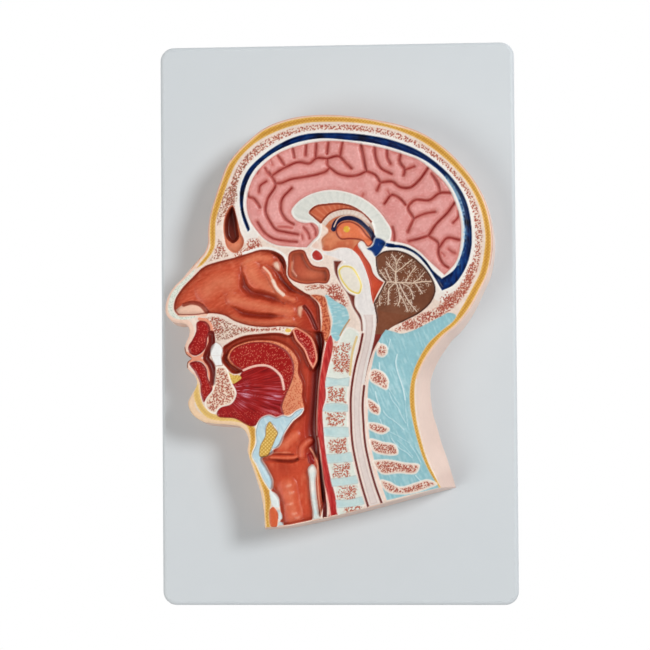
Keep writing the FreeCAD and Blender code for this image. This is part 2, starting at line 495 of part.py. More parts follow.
def head_block():
    """The solid block of the head, from the board's face to the cut face."""
    corners = [placed(x, y, BOARD_DEPTH) for x, y in NECK_FOOT]
    lower_top, lower_foot = side(LOWER_FACE, CUT_FACE, BOARD_DEPTH)
    upper_top, upper_foot = side(UPPER_FACE, CUT_FACE, BOARD_DEPTH)
    neck_top = [placed(x, y, CUT_FACE) for x, y in NECK_CUT]
    top = lower_top[:-1] + upper_top[:-1] + neck_top
    foot = corners[-1:] + lower_foot[1:-1] + upper_foot[:-1] + corners
    return solid_from([polygon_face(top), polygon_face(foot)] + strip(top, foot))


def crown_cavity_height():
    """Up to a ceiling under the deepest furrow."""
    return RELIEF_HEIGHT - BRAIN_DEPTH - SULCUS_DEPTH - CROWN_CEILING


def face_cavity_height():
    """Up to a ceiling under the deepest passage."""
    return RELIEF_HEIGHT - PASSAGE_DEPTH - FACE_CEILING


def back_cavities():
    """The two hollows behind the cut face, open to the board."""
    crown = loop_face(CROWN_CAVITY, BOARD_DEPTH - OVERCUT)
    face = loop_face(FACE_CAVITY, BOARD_DEPTH - OVERCUT)
    return [crown.extrude(V(0, 0, crown_cavity_height() + OVERCUT)),
            face.extrude(V(0, 0, face_cavity_height() + OVERCUT))]


def boss_centres(z):
    return [placed(x, y, z) for x, y in CROWN_BOSSES + FACE_BOSSES]


def bosses():
    """Screw pillars inside the cavities, up into the middle of the ceiling."""
    crown_height = crown_cavity_height() + CROWN_CEILING / 2
    face_height = face_cavity_height() + FACE_CEILING / 2
    pillars = [Part.makeCylinder(BOSS_RADIUS, crown_height, placed(x, y, BOARD_DEPTH))
               for x, y in CROWN_BOSSES]
    pillars += [Part.makeCylinder(BOSS_RADIUS, face_height, placed(x, y, BOARD_DEPTH))
                for x, y in FACE_BOSSES]
    return pillars


def pilot_holes():
    depth = SCREW_GRIP + PILOT_SPARE
    radius = SCREW_RADIUS + PILOT_CLEARANCE
    low = BOARD_DEPTH - OVERCUT
    return [Part.makeCylinder(radius, depth + OVERCUT, p) for p in boss_centres(low)]


def cranium_recesses():
    """The blue sinus channel, the brain, the ventricles and the cerebellum."""
    return [recess(runs_face, SINUS_RUNS, SINUS_DEPTH),
            recess(runs_face, BRAIN_RUNS, BRAIN_DEPTH),
            recess(runs_face, VENTRICLE_RUNS, VENTRICLE_DEPTH),
            recess(runs_face, CEREBELLUM_RUNS, BRAIN_DEPTH),
            recess(loop_face, GREAT_VEIN, SINUS_DEPTH),
            recess(runs_face, BASILAR_RUNS, VENTRICLE_DEPTH),
            recess(loop_face, FRONTAL_SINUS, SINUS_DEPTH),
            recess(loop_face, FRONTAL_HOLLOW, PASSAGE_DEPTH),
            recess(loop_face, SPHENOID, SPHENOID_DEPTH)]


def airway_recesses():
    """The nose, mouth, throat, larynx and windpipe."""
    nose = [UPPER_PASSAGE, MIDDLE_PASSAGE, LOWER_PASSAGE, VESTIBULE_PASSAGE]
    cutters = [recess(loop_face, outline, PASSAGE_DEPTH) for outline in nose]
    cutters.append(recess(runs_face, NASAL_RUNS, NASAL_DEPTH))
    cutters.append(recess(runs_face, AIRWAY_RUNS, AIRWAY_DEPTH))
    cutters.append(groove_recess(THROAT, THROAT_WIDTH, PASSAGE_DEPTH))
    cutters.append(groove_recess(TUBE_FOLD, TUBE_FOLD_WIDTH, PASSAGE_DEPTH))
    cutters.append(recess(loop_face, VOCAL_FOLD, PASSAGE_DEPTH))
    cutters.append(groove_recess(GULLET, GULLET_WIDTH, SINUS_DEPTH))
    return cutters


def tissue_recesses():
    """Muscles, fat, cartilage and discs, a little below the bone."""
    loops = [PITUITARY, PONS, UPPER_LIP, LOWER_LIP, EPIGLOTTIS, ARYTENOID, ISTHMUS, CRICOID_BEAD]
    cutters = [recess(loop_face, outline, TISSUE_DEPTH) for outline in loops]
    for runs in (TONGUE_RUNS, CLIVUS_WEDGE_RUNS, NECK_MUSCLE_RUNS, NUCHAL_RUNS):
        cutters.append(recess(runs_face, runs, TISSUE_DEPTH))
    cutters.append(recess(loop_face, LIP_GAP, AIRWAY_DEPTH))
    cutters.append(groove_recess(FRONT_CORD_LINE, CORD_LINE_WIDTH, CORD_LINE_DEPTH))
    cutters.append(groove_recess(BACK_CORD_LINE, CORD_LINE_WIDTH, CORD_LINE_DEPTH))
    for front, back, height in DISCS:
        cutters.append(groove_recess([front, back], height, TISSUE_DEPTH))
    return cutters


def raised_fields():
    """What stands up again inside the recesses."""
    fields = [raised(loop_face, THALAMUS, VENTRICLE_DEPTH, RIDGE_DROP),
              raised(runs_face, FORNIX_RUNS, VENTRICLE_DEPTH, RIDGE_DROP),
              raised(loop_face, SOFT_PALATE, PASSAGE_DEPTH, PALATE_DROP),
              raised_band(CONCHA_RIDGE, CONCHA_RIDGE_WIDTH, PASSAGE_DEPTH, PALATE_DROP),
              raised_band(TONGUE_LINE, TONGUE_LINE_WIDTH, TISSUE_DEPTH, RIDGE_DROP)]
    fields += [raised(loop_face, outline, TISSUE_DEPTH, 0) for outline in SPINOUS]
    fields += [raised_band(points, BRANCH_WIDTH, BRAIN_DEPTH, RIDGE_DROP) for points in ARBOR]
    return fields


def head_relief():
    """One moulding: the block, hollow behind, with the anatomy carved in its cut face."""
    block = head_block()
    block = block.cut(back_cavities())
    block = block.fuse(bosses())
    block = block.cut(pilot_holes())
    block = block.cut(cranium_recesses() + airway_recesses() + tissue_recesses())
    block = block.fuse(raised_fields())
    block = block.cut([furrow(points) for points in SULCI])
    return block.removeSplitter()


def rounded_plate(width, height, corner, low, high):
    """An upright slab with round corners, its middle on the Z axis."""
    slab = Part.makeBox(width, height, high - low, V(-width / 2, -height / 2, low))
    uprights = [e for e in slab.Edges if abs(e.tangentAt(e.FirstParameter).z) > 0.5]
    return slab.makeFillet(corner, uprights)


def base_board():
    """A formed tray, open behind, with a rounded front edge and a seat at each screw."""
    outer = rounded_plate(BOARD_WIDTH, BOARD_HEIGHT, BOARD_CORNER, 0, BOARD_DEPTH)
    rim = [e for e in outer.Edges if e.BoundBox.ZMin > BOARD_DEPTH - BOARD_EDGE / 2]
    outer = outer.makeFillet(BOARD_EDGE, rim)
    inset = 2 * BOARD_WALL
    sheet_back = BOARD_DEPTH - BOARD_WALL
    inner = rounded_plate(BOARD_WIDTH - inset, BOARD_HEIGHT - inset, BOARD_CORNER - BOARD_WALL,
                          -OVERCUT, sheet_back)
    board = outer.cut(inner)
    seats = [Part.makeCylinder(SEAT_RADIUS, SEAT_HEIGHT + BOARD_WALL / 2, p)
             for p in boss_centres(sheet_back - SEAT_HEIGHT)]
    board = board.fuse(seats)
    holes = [Part.makeCylinder(SCREW_RADIUS + SCREW_CLEARANCE, BOARD_DEPTH, p)
             for p in boss_centres(OVERCUT)]
    return board.cut(holes).removeSplitter()


def seat_level():
    """The back face of the board's screw seats."""
    return BOARD_DEPTH - BOARD_WALL - SEAT_HEIGHT


def washer(centre):
    ring = Part.makeCylinder(WASHER_RADIUS, WASHER_THICKNESS, centre)
    hole = Part.makeCylinder(SCREW_RADIUS + SCREW_CLEARANCE, WASHER_THICKNESS, centre)
    return ring.cut(hole)


def screw(head_seat):
    """A slotted screw with a bevelled head, its shank up into the boss."""
    shank_length = BOARD_DEPTH + SCREW_GRIP - head_seat.z
    shank = Part.makeCylinder(SCREW_RADIUS, shank_length, head_seat)
    head = Part.makeCylinder(SCREW_HEAD_RADIUS, SCREW_HEAD_HEIGHT, head_seat - V(0, 0, SCREW_HEAD_HEIGHT))
    back_edges = [e for e in head.Edges if e.BoundBox.ZMax < head_seat.z - SCREW_HEAD_HEIGHT / 2]
    head = head.makeChamfer(SCREW_HEAD_HEIGHT / 3, back_edges)
    slot_corner = head_seat - V(SCREW_HEAD_RADIUS, SCREW_SLOT_WIDTH / 2, SCREW_HEAD_HEIGHT)
    slot = Part.makeBox(2 * SCREW_HEAD_RADIUS, SCREW_SLOT_WIDTH, SCREW_SLOT_DEPTH, slot_corner)
    return shank.fuse(head).cut(slot)


def washers():
    return Part.Compound([washer(p) for p in boss_centres(seat_level() - WASHER_THICKNESS)])


def screws():
    return Part.Compound([screw(p) for p in boss_centres(seat_level() - WASHER_THICKNESS)])


def main():
    os.makedirs("parts", exist_ok=True)
    nodes = {"base_board": base_board(), "head_relief": head_relief(),
             "relief_screws": screws(), "screw_washers": washers()}
    for name, shape in nodes.items():
        print(name, "valid", shape.isValid(), "solids", len(shape.Solids), "volume", round(shape.Volume))
        shape.exportStep("parts/" + name + ".step")


main()
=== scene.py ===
import bpy
import math
import numpy as np
from mathutils import Matrix, Vector


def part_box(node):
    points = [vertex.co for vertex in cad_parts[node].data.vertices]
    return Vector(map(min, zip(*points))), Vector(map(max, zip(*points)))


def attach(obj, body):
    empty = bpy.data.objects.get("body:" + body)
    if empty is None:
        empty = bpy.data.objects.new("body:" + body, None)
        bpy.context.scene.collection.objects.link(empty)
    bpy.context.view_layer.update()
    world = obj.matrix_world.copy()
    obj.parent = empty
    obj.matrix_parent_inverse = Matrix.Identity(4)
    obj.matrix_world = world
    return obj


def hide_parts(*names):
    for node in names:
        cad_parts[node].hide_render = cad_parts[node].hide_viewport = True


# Half a head, cut along its middle plane, as a carved and hand-painted relief on a white board.
# The cut face is a fine height field, carved and painted along curves drawn in millimetres
# in the frame of the solids: +X from the nose to the back of the head, +Y to the crown.

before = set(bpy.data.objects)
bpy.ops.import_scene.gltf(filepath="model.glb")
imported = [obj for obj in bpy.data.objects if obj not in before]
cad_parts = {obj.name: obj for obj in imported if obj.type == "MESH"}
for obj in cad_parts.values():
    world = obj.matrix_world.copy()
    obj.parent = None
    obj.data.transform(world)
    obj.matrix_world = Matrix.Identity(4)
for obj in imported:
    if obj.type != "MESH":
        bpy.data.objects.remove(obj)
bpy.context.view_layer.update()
relief_low, relief_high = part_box("head_relief")
board_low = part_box("base_board")[0]

MM = 0.001
CUT_FACE = relief_high.z / MM
BOARD_FACE = relief_low.z / MM

# Grid of the height field
STEP = 0.4
GRID_LOW = (-124.0, -148.0)
GRID_HIGH = (115.0, 151.0)
XS = np.arange(GRID_LOW[0], GRID_HIGH[0], STEP)
YS = np.arange(GRID_LOW[1], GRID_HIGH[1], STEP)
X, Y = np.meshgrid(XS, YS)
BAND_NAMES = ("relief_neck", "relief_lower_face", "relief_upper_face", "relief_crown")
BANDS = (GRID_LOW[1], -62.0, -2.0, 62.0, GRID_HIGH[1])
LATTICE = 128

# Form of the cut face and of the wall round it, in millimetres, and middles of its patterns
EDGE_RADIUS = 1.6
EDGE_DROP = 0.9
LOWEST, HIGHEST = -9.0, 0.45
FURROW_DEPTH = 3.4
FOLD_RADIUS = 3.8
BONE_REACH = 14
SKULL_CENTRE = (5, 30)
SKULL_RADIUS = 95
VENTRICLE_CENTRE = (6, 66)
TONGUE_CENTRE = (-56, -50)
TONGUE_ROOT = (-86, -46)
PLAN_LOW = (-130, -155)
PLAN_SIZE = (260, 310)

# Paint, as the eye sees it
BONE = (236, 216, 202)
BONE_WHITE = (240, 236, 230)
MARROW = (168, 74, 56)
MARROW_PALE = (196, 128, 104)
GOLD = (222, 168, 74)
GOLD_DARK = (188, 128, 48)
SKIN = (240, 204, 184)
SKIN_SHADE = (222.5, 174.6, 151.1)
CARTILAGE = (228, 230, 218)
SINUS = (4, 52, 124)
SINUS_DARK = (6, 14, 58)
BRAIN = (220, 142, 136)
BRAIN_FURROW = (150, 30, 30)
CALLOSUM = (226, 226, 218)
SEPTUM = (206, 102, 70)
THALAMUS_RED = (226, 118, 76)
VENTRICLE = (222, 140, 100)
CEREBELLUM_BROWN = (112, 66, 46)
NASAL = (214, 92, 58)
# The tone below is painted shade in the grooves of the nasal passages
NASAL_SHADE = (150, 34, 18)
AIRWAY = (208, 78, 48)
# The tone below is painted shade in the deep groove of the throat
AIRWAY_SHADE = (120, 14, 6)
MUSCLE = (160, 12, 10)
MUCOSA = (232, 150, 120)
PALE_BLUE = (150, 198, 206)
DISC = (208, 228, 226)
FAT = (226, 190, 96)
CORD_DARK = (112, 28, 20)
GLAND = (212, 96, 56)
TOOTH = (240, 240, 238)

# Outline of the head: X, Y and how far the foot of the side stands out
LOWER_FACE = [
    (-51.2, -145.6, 3.5), (-51.8, -136, 3), (-54, -121, 3), (-57, -111, 3), (-60.5, -100.5, 3),
    (-63.2, -91, 3), (-62.6, -82, 2.5), (-65, -76.6, 2), (-69.5, -73.3, 2.5), (-77.9, -71.9, 3),
    (-87, -71.2, 3), (-95.4, -69.6, 3), (-101.7, -65.6, 3), (-105, -60.6, 3), (-105.8, -55.8, 3),
    (-103.5, -51, 3), (-100.4, -45.5, 2.5), (-99.4, -41.8, 2), (-100.8, -37.3, 2.5),
    (-104.4, -33.7, 3), (-106.6, -30.8, 3), (-106.2, -27.2, 1), (-103, -24.6, 0)]
UPPER_FACE = [
    (-103, -24.6, 0), (-106.9, -22, 1), (-108.4, -17.6, 3), (-107.1, -13.1, 3), (-105.1, -8.5, 2.5),
    (-104.6, -4.6, 2), (-106.2, -0.6, 1.5), (-109.5, 0.9, 2), (-114.2, 1.4, 2.5), (-118.6, 3.6, 3),
    (-121.5, 8, 3), (-121.8, 12.5, 3), (-120.1, 19.6, 3), (-116, 26.5, 3), (-110.2, 32.2, 3),
    (-101.7, 42.1, 3), (-96.8, 47.5, 3), (-92.8, 52.5, 2.5), (-90.9, 58.5, 2.5), (-90.8, 66, 2.5),
    (-89.5, 77, 2.5), (-85.8, 90, 2.5), (-81.2, 103.4, 2), (-76.6, 114.5, 2), (-70.8, 122, 2),
    (-60.8, 131.8, 2), (-50.6, 139.6, 2), (-30.3, 147, 2), (-10, 149.1, 2), (10, 148.1, 2),
    (30.4, 144.9, 2), (50.5, 140.1, 2), (65.7, 133.6, 2), (80.8, 122.6, 2), (91, 112.2, 2),
    (101.2, 98.7, 2), (107.4, 86.4, 2), (110.9, 74.1, 2), (112.7, 60, 2.2), (111.9, 46.1, 2.5),
    (109, 33.8, 2.8), (103.6, 22.5, 3), (98, 12, 3.5), (92, 3.4, 4.2), (86.5, -2.6, 5),
    (79.3, -8.1, 6), (74, -13.8, 6.8), (68.7, -19.9, 7.6), (64.3, -26.5, 8.3), (60.8, -33.1, 8.8),
    (58.3, -41, 9.2), (57.4, -50.1, 9.7), (57.7, -60, 10.2), (58.7, -69.7, 10.8), (60.7, -79, 11.5),
    (63.5, -91, 12), (68, -102.6, 11.6), (74.6, -117.6, 8.5)]
NECK_CUT = [(74.6, -117.6), (-17.4, -141), (-37, -144.7), (-51.2, -145.6)]
NECK_FOOT = [(85, -119.6), (-16.4, -145), (-36.6, -148.7), (-54.2, -149.6)]

# Fat under the skin: outer and inner edge, over the head and down the nape, then under the chin
GOLD_RUNS = [
    [(-99, 40.5), (-95.8, 45), (-91.8, 50), (-89.6, 55), (-89.6, 65), (-88.8, 75), (-84.7, 90),
     (-80, 103), (-75, 114.6), (-70, 121), (-60, 130.7), (-50, 138.6), (-40, 142.8), (-20, 147.3),
     (0, 147.6), (20, 145.7), (40, 141.3), (60, 135), (70, 129.8), (80, 121.7), (90, 111.4),
     (100, 98), (106, 86), (109.6, 73.8), (111.4, 58), (110.7, 46.4), (107.8, 34.3), (102.4, 23.1),
     (95, 10), (85.6, -1.7), (75.8, -9.7), (67.7, -19.2), (61.4, -29.5), (57.1, -40.7),
     (56.2, -55.1), (57.5, -69.9), (60.6, -83.8), (65.6, -99.9), (74.4, -117.4)],
    [(74.4, -117.4), (73, -117.6)],
    [(73, -117.6), (68.7, -111.2), (63.8, -101.3), (57.9, -83.8), (54.8, -70.3), (53, -60),
     (53.1, -46.5), (55.6, -34.9), (60.5, -24.1), (65.9, -15.6), (74.4, -7.3), (83.8, 0.4),
     (90.1, 10), (98.4, 24.9), (103.3, 34.7), (106, 46.4), (107.4, 59.9), (106, 72.4),
     (102.5, 85), (97.9, 94.4), (90, 105.6), (80, 115.9), (70, 124.2), (60, 130.7), (40, 139),
     (20, 142.6), (0, 143.9), (-20, 143.3), (-40, 138.1), (-60, 126.7), (-70, 115.5), (-75, 105),
     (-78, 97), (-80.4, 90), (-85.4, 72), (-85.6, 62), (-86.3, 55), (-91, 47), (-96, 42),
     (-99, 40.5)]]
CHIN_RUNS = [
    [(-98.6, -42.2), (-101.7, -49.9), (-100.6, -55.7), (-97.2, -62), (-91.8, -66.9), (-82.4, -69.2),
     (-73.4, -69.6), (-64.4, -72.3), (-61.4, -80), (-61.6, -89), (-61.9, -93.5), (-58.3, -102.4),
     (-55.1, -111.4), (-52, -120.4), (-50.9, -129.4), (-51, -138), (-50, -145.6)],
    [(-50, -145.6), (-47.6, -145.6)],
    [(-47.6, -145.6), (-48.2, -136), (-46.8, -127.1), (-47.7, -119), (-51.5, -113.2),
     (-56, -104.2), (-60.1, -95.3), (-57.8, -84.5), (-56.8, -76), (-60.2, -72.4), (-67.1, -69.2),
     (-75.6, -67.2), (-83.3, -65.6), (-89.6, -63.3), (-94.9, -58), (-97.2, -51.2), (-98.6, -42.2)]]

NOSE_CARTILAGE = [
    (-100, 40), (-104.6, 35.6), (-109.4, 31), (-114, 26.6), (-117.6, 21.6), (-119.4, 16),
    (-120, 11), (-118.6, 7), (-115, 4.4), (-108.6, 3.4), (-103, 4.2), (-97, 6.6), (-103.5, 5.6),
    (-110.2, 5.6), (-114.4, 7.6), (-116.6, 10.8), (-116.2, 15.6), (-113.2, 21.8), (-108, 29),
    (-102.6, 34.4)]

# Channel of the sagittal and the straight sinus
SINUS_RUNS = [
    [(-62.1, 66), (-65.6, 75), (-67.8, 88), (-66.5, 100), (-62.1, 109.6), (-50, 121.3), (-40, 128),
     (-25, 134.3), (0, 136), (20, 134.6), (40, 130.6), (60, 122.6), (75, 111.9), (85, 101.6),
     (93.2, 88.1), (97.3, 70.2), (96.8, 50), (92.1, 36.5), (83.6, 25.8), (76.4, 22.6)],
    [(76.4, 22.6), (71.5, 31.2), (64.3, 41.9), (57.1, 49.1), (49.9, 52.5), (37.5, 53.9)],
    [(37.5, 53.9), (37.9, 55.9)],
    [(37.9, 55.9), (49.9, 54.4), (57.1, 50.9), (64.3, 44.6), (70.4, 36.3), (76.4, 30.9)],
    [(76.4, 30.9), (84.5, 36.5), (90.8, 49.1), (92.6, 71.5), (88.1, 88.1), (80, 102.4), (65, 115.5),
     (50, 122.1), (30, 128), (10, 130.9), (-10, 132.3), (-30, 128.5), (-45, 121.3), (-58, 109.6),
     (-64.5, 94.8), (-65.4, 84), (-60.7, 67.8)],
    [(-60.7, 67.8), (-62.1, 66)]]
SINUS_PATCHES = [(-66.4, 94), (-10, 133.6), (20, 132.2), (94.6, 71)]
# Painted highlight: a light-blue sheen along the inner wall of the sinus channel
SINUS_SHEEN = [(80, 104), (87, 93), (91.4, 80), (93, 66), (92, 52), (88, 41)]

# Brain above the callosum
BRAIN_RUNS = [
    [(-19.9, 54.1), (-32, 54.8), (-42, 56.2), (-50, 60.2), (-56.2, 66.9), (-61.2, 75), (-63.2, 85),
     (-62, 94.8), (-58.9, 103.8), (-50, 115), (-40, 122.2), (-25, 127.6), (-10, 130.3), (5, 130.3),
     (20, 128), (35, 124.9), (50, 120.2), (60, 116.4), (70, 108.7), (80, 98.4), (86.7, 85),
     (90.3, 71.1), (90.1, 56.3), (86.7, 42.8), (78.2, 33.2)],
    [(78.2, 33.2), (67, 43.7), (60.3, 50.4), (53.1, 54.9), (45, 57.2), (39.6, 58)],
    [(39.6, 58), (40.5, 65.1), (36.5, 73), (29.8, 81.6), (20, 89), (9.2, 93.3), (-4.3, 95),
     (-15.5, 92.3), (-25, 87.4), (-30.6, 79.5), (-27.9, 74.6), (-22.1, 72.1), (-14.9, 71.9),
     (-11.3, 68.7), (-11.3, 63.3), (-15.3, 59), (-19.9, 54.1)]]

# Furrows of the brain: depth of each, then its points
SULCI = [
    (1.0, [(-47, 108.6), (-45, 105.8), (-42.3, 100.6), (-48.1, 88.9), (-49.5, 80.8), (-46.3, 73.2),
           (-41.9, 67.4), (-34.7, 65.4), (-26.2, 63.8)]),
    (1.0, [(-30.6, 97), (-37.8, 88.5), (-38.3, 81.3), (-34.7, 74.6), (-29.4, 71)]),
    (0.8, [(-48.6, 102.2), (-53.4, 98.6), (-54.2, 94.6)]),
    (0.9, [(-62.3, 94.7), (-61.6, 91.2), (-58.5, 90.3), (-55.3, 86.7), (-53.5, 83.5)]),
    (0.9, [(-55.3, 72.8), (-51.3, 66.5), (-44.6, 61.3), (-36, 59.3), (-27.1, 58.4)]),
    (0.4, [(-40.1, 69.2), (-35.1, 69.2), (-30.6, 68.5)]),
    (0.7, [(-22.1, 68.7), (-18.9, 64.4), (-17.9, 60.8)]),
    (0.6, [(-16.7, 71), (-14.9, 68.7), (-13.6, 66), (-13.6, 62.9)]),
    (0.5, [(-23.5, 63.3), (-23.2, 60.6)]),
    (1.0, [(-42.3, 100.6), (-39.6, 100.6), (-31.1, 103.3), (-20.3, 105.1), (-11, 106.9),
           (-5.2, 109.2), (-3.3, 111.4)]),
    (1.0, [(-45, 105.8), (-43.4, 107), (-32.9, 113), (-26, 115.5), (-17.2, 114.8), (-13.1, 118),
           (-4.9, 117.9)]),
    (0.9, [(-4.9, 117.9), (-4.5, 112.8), (-3.3, 111.4)]),
    (0.6, [(-54.4, 110), (-55.3, 107.8)]),
    (0.7, [(-49.6, 111.6), (-47.7, 108.4), (-46.1, 106.5)]),
    (0.3, [(-45.9, 118.1), (-44.1, 114.1)]),
    (0.9, [(-40.3, 120.4), (-37.8, 116.8), (-35.6, 113.2)]),
    (0.9, [(-29.7, 126), (-28.4, 119)]),
    (0.9, [(-19.9, 127.8), (-20.5, 120.6)]),
    (0.9, [(-12.6, 128.6), (-13.2, 120), (-13.1, 118)]),
    (0.9, [(-4, 129.4), (-5, 121.3)]),
    (1.0, [(-4.9, 117.9), (3.6, 119.3), (8.8, 114.1), (12.4, 110.6)]),
    (0.9, [(6.1, 129.4), (4.6, 121.2), (4.3, 119.5)]),
    (1.0, [(-3.3, 111.4), (2.9, 106.9), (10.1, 105.1), (17.3, 105.8), (23.1, 108.5)]),
    (1.2, [(19.3, 128.2), (19.8, 124.9), (20.9, 119.5), (22.5, 111), (23.1, 108.5)]),
    (1.0, [(23.1, 108.5), (29.4, 105.6), (33, 100.2)]),
    (1.1, [(33, 100.2), (41.5, 100.6), (46.9, 96.8), (54, 96.3), (60.7, 101.5), (67, 110.1)]),
    (0.9, [(33, 100.2), (30.6, 94.6)]),
    (1.0, [(29, 126.4), (29.9, 117.7), (33.2, 110.8), (41.1, 106.2)]),
    (0.9, [(37.9, 124), (38.2, 118), (40.4, 113.4)]),
    (1.0, [(47.6, 120.4), (46.9, 115), (50.5, 108.9), (49.6, 105)]),
    (0.7, [(50.5, 108.9), (57.6, 111.4)]),
    (0.9, [(69.6, 106), (74.4, 98), (75.5, 92.1)]),
    (1.0, [(83.6, 92.1), (75.5, 92.1), (67.9, 87.2), (57.1, 87), (52.8, 82.6), (56.7, 74.2)]),
    (1.0, [(35.7, 84.9), (41.4, 91.2), (47.4, 88.1), (51, 84)]),
    (0.8, [(56.7, 74.2), (64.4, 77.4), (71.9, 78.7)]),
    (0.9, [(56.7, 74.2), (52.2, 64.6)]),
    (1.1, [(85.8, 85), (80.9, 78.3), (71.9, 69.1), (67, 61.7)]),
    (1.0, [(53, 58), (60.6, 59.8), (67, 61.7)]),
    (1.0, [(67, 61.7), (74, 56), (74.1, 48.4), (78.2, 40.6), (80.9, 38.8)]),
    (1.0, [(74.4, 53), (80.4, 59.9), (89, 58.5)]),
    (0.6, [(81.3, 51.8), (83.6, 50), (85.8, 49.1)]),
    (0.4, [(76.4, 49.6), (78.2, 47.3)]),
    (0.7, [(88.5, 79.2), (88.3, 75.1), (84.5, 70.6)]),
    (0.9, [(41.5, 68), (42.6, 62), (42.4, 57.8)]),
    (0.4, [(38.4, 93.5), (40.2, 90.3)]),
    (0.4, [(20.9, 92.1), (20, 90.3)])]

CALLOSUM_RUNS = [
    [(-20, 73), (-27.6, 75.4), (-30.2, 79.5), (-27.5, 84.4), (-20, 90.5), (-8.8, 94.1), (0.2, 94.5),
     (9.2, 92.9), (19.9, 88.5), (29.4, 81.3), (36.1, 72.8), (40.1, 65.1), (39.2, 59.7),
     (34.7, 57.7), (29.6, 60.6), (28.5, 67.4), (27.1, 72.3)],
    [(27.1, 72.3), (21.7, 77.9), (13.7, 83.3), (4.7, 85.8), (-5.2, 85.5), (-14.2, 83.8),
     (-18.4, 79), (-15.1, 75.7), (-9.9, 70.7)],
    [(-9.9, 70.7), (-10.4, 65.6)],
    [(-10.4, 65.6), (-11.4, 69.6), (-15.1, 72.8), (-20, 73)]]
SEPTUM_RUNS = [
    [*CALLOSUM_RUNS[1][:-1], (-9.6, 70.8)],
    [(-9.6, 70.8), (-7.9, 73.2), (-3.8, 77.5), (3.3, 80.4), (12.3, 80.6), (20.4, 77.7),
     (26.2, 71), (27.1, 72.3)]]
FORNIX_RUNS = [
    [(28, 65.1), (27.6, 67.4), (23.5, 74.6), (16.8, 79.5), (7.8, 80.8), (-0.7, 79.3), (-6.1, 75.4),
     (-9.6, 70.6)],
    [(-9.6, 70.6), (-6.5, 69.4)],
    [(-6.5, 69.4), (-3.4, 73.2), (2.4, 76.3), (12.3, 77), (20.4, 73.2), (25.6, 69), (28, 65.1)]]
VENTRICLE_RUNS = [
    [(-8.6, 71), (-3.8, 77), (5.5, 80), (16.8, 79), (24.8, 72.6), (28.3, 65.1), (27.6, 58.4)],
    [(27.6, 58.4), (19.7, 58.4)],
    [(19.7, 58.4), (17, 57), (15, 50.8), (11.4, 53), (3.3, 53.9), (-4.3, 51.7), (-7.9, 52.1),
     (-9.4, 60.2), (-6.6, 63.4), (-4.4, 66), (-8.6, 71)]]
THALAMUS = [(1.2, 66.4), (4.2, 71), (11, 72.3), (18.1, 68.7), (22.6, 63), (27, 57.2), (24.5, 54.6),
            (19.8, 58.9), (11.4, 60.4), (4, 60.6)]
CHOROID = [(-0.7, 67.4), (0.6, 71.4), (4.4, 74.4), (10.1, 75.4), (15.9, 74), (20.8, 70.5),
           (25.8, 64.7), (28.9, 58.4)]
GREAT_VEIN = [(29.4, 60.6), (36.6, 57.2), (34.4, 52.8), (28.8, 47.2), (26.2, 50.9), (22.6, 52.6),
              (26.9, 55)]
LAMINA = [(-9.7, 70.5), (-10, 66), (-11.4, 61.4), (-15, 58), (-17, 54.8), (-13.3, 52.4)]
HYPOTHALAMUS_RIM = [(-8, 70), (-7, 67.6), (-5, 65.4), (-7.6, 62.8), (-9.6, 60.4), (-9.2, 54)]
PITUITARY = [(-16, 49.4), (-13.4, 52.1), (-9.6, 49.4), (-8.6, 46.4), (-12, 44.9), (-15.2, 46.3)]

BRAINSTEM_RUNS = [
    [(-8.3, 51.4), (-2.1, 51), (5.1, 53.4), (9.2, 53.4), (13, 51.9), (17.1, 47.9), (20.2, 42.1),
     (22.9, 35.3), (24.9, 27.7), (25.8, 20.5), (26.9, 14.7), (28.7, 8.8), (29.2, 2), (28.7, -6.4),
     (26.6, -17), (24, -27), (21.8, -37), (20.2, -47.7), (19.2, -60), (19.9, -80), (22.4, -95.2),
     (26.4, -111.8), (32.4, -130)],
    [(32.4, -130), (22.6, -132)],
    [(22.6, -132), (18.3, -116.3), (14.3, -100.1), (11.8, -86), (10.8, -66), (11, -50.4),
     (13.5, -34.2), (17.3, -19), (19.6, -8), (19.7, 1.2), (17.5, 7.1), (14.4, 12.4), (14, 16),
     (15.3, 20.1)],
    [(15.3, 20.1), (10.3, 21.6), (5.4, 27.6), (2.4, 35), (2.6, 39.6), (6.4, 43.6), (1.5, 46.2),
     (-2.5, 47.8), (-8.3, 50.4), (-8.3, 51.4)]]
PONS = [(2.7, 37.6), (5.4, 40.6), (11.8, 40.2), (17.3, 33), (19.3, 25.4), (17.4, 20.8),
        (12.2, 21.9), (6.8, 27.2), (3.4, 33.4)]
AQUEDUCT_RUNS = [
    [*BRAINSTEM_RUNS[0][4:10], (27.2, 13.6)],
    [(27.2, 13.6), (29.6, 19.6), (32.3, 24.6), (34.9, 28.7)],
    [(34.9, 28.7), (30.1, 32.2), (27.8, 34.9), (25.8, 40.9), (20.4, 49.4), (17, 57)],
    [(17, 57), (14.6, 55), (13, 51.9)]]
TECTUM = [(16.8, 56.6), (20.4, 49.4), (25.8, 40.9), (27.8, 34.9), (30.1, 32.2), (34.8, 29),
          (32.3, 32.4), (30.2, 36.7), (29.5, 43.6), (27.1, 49.4), (23.1, 53), (21.3, 57.2),
          (18.8, 58.6)]
BASILAR_RUNS = [
    [(-1, 44.6), (5.6, 44.4)],
    [(5.6, 44.4), (2.4, 40), (2.4, 35), (5.4, 27.2), (10.3, 21.4), (14.4, 19.4)],
    [(14.4, 19.4), (14.2, 13), (18.8, 4.4), (20, -6.4)],
    [(20, -6.4), (18.4, -6.2)],
    [(18.4, -6.2), (17.8, 1), (12.1, 12), (9.9, 18.3), (3.3, 28.7), (0, 35.8), (-1, 44.6)]]

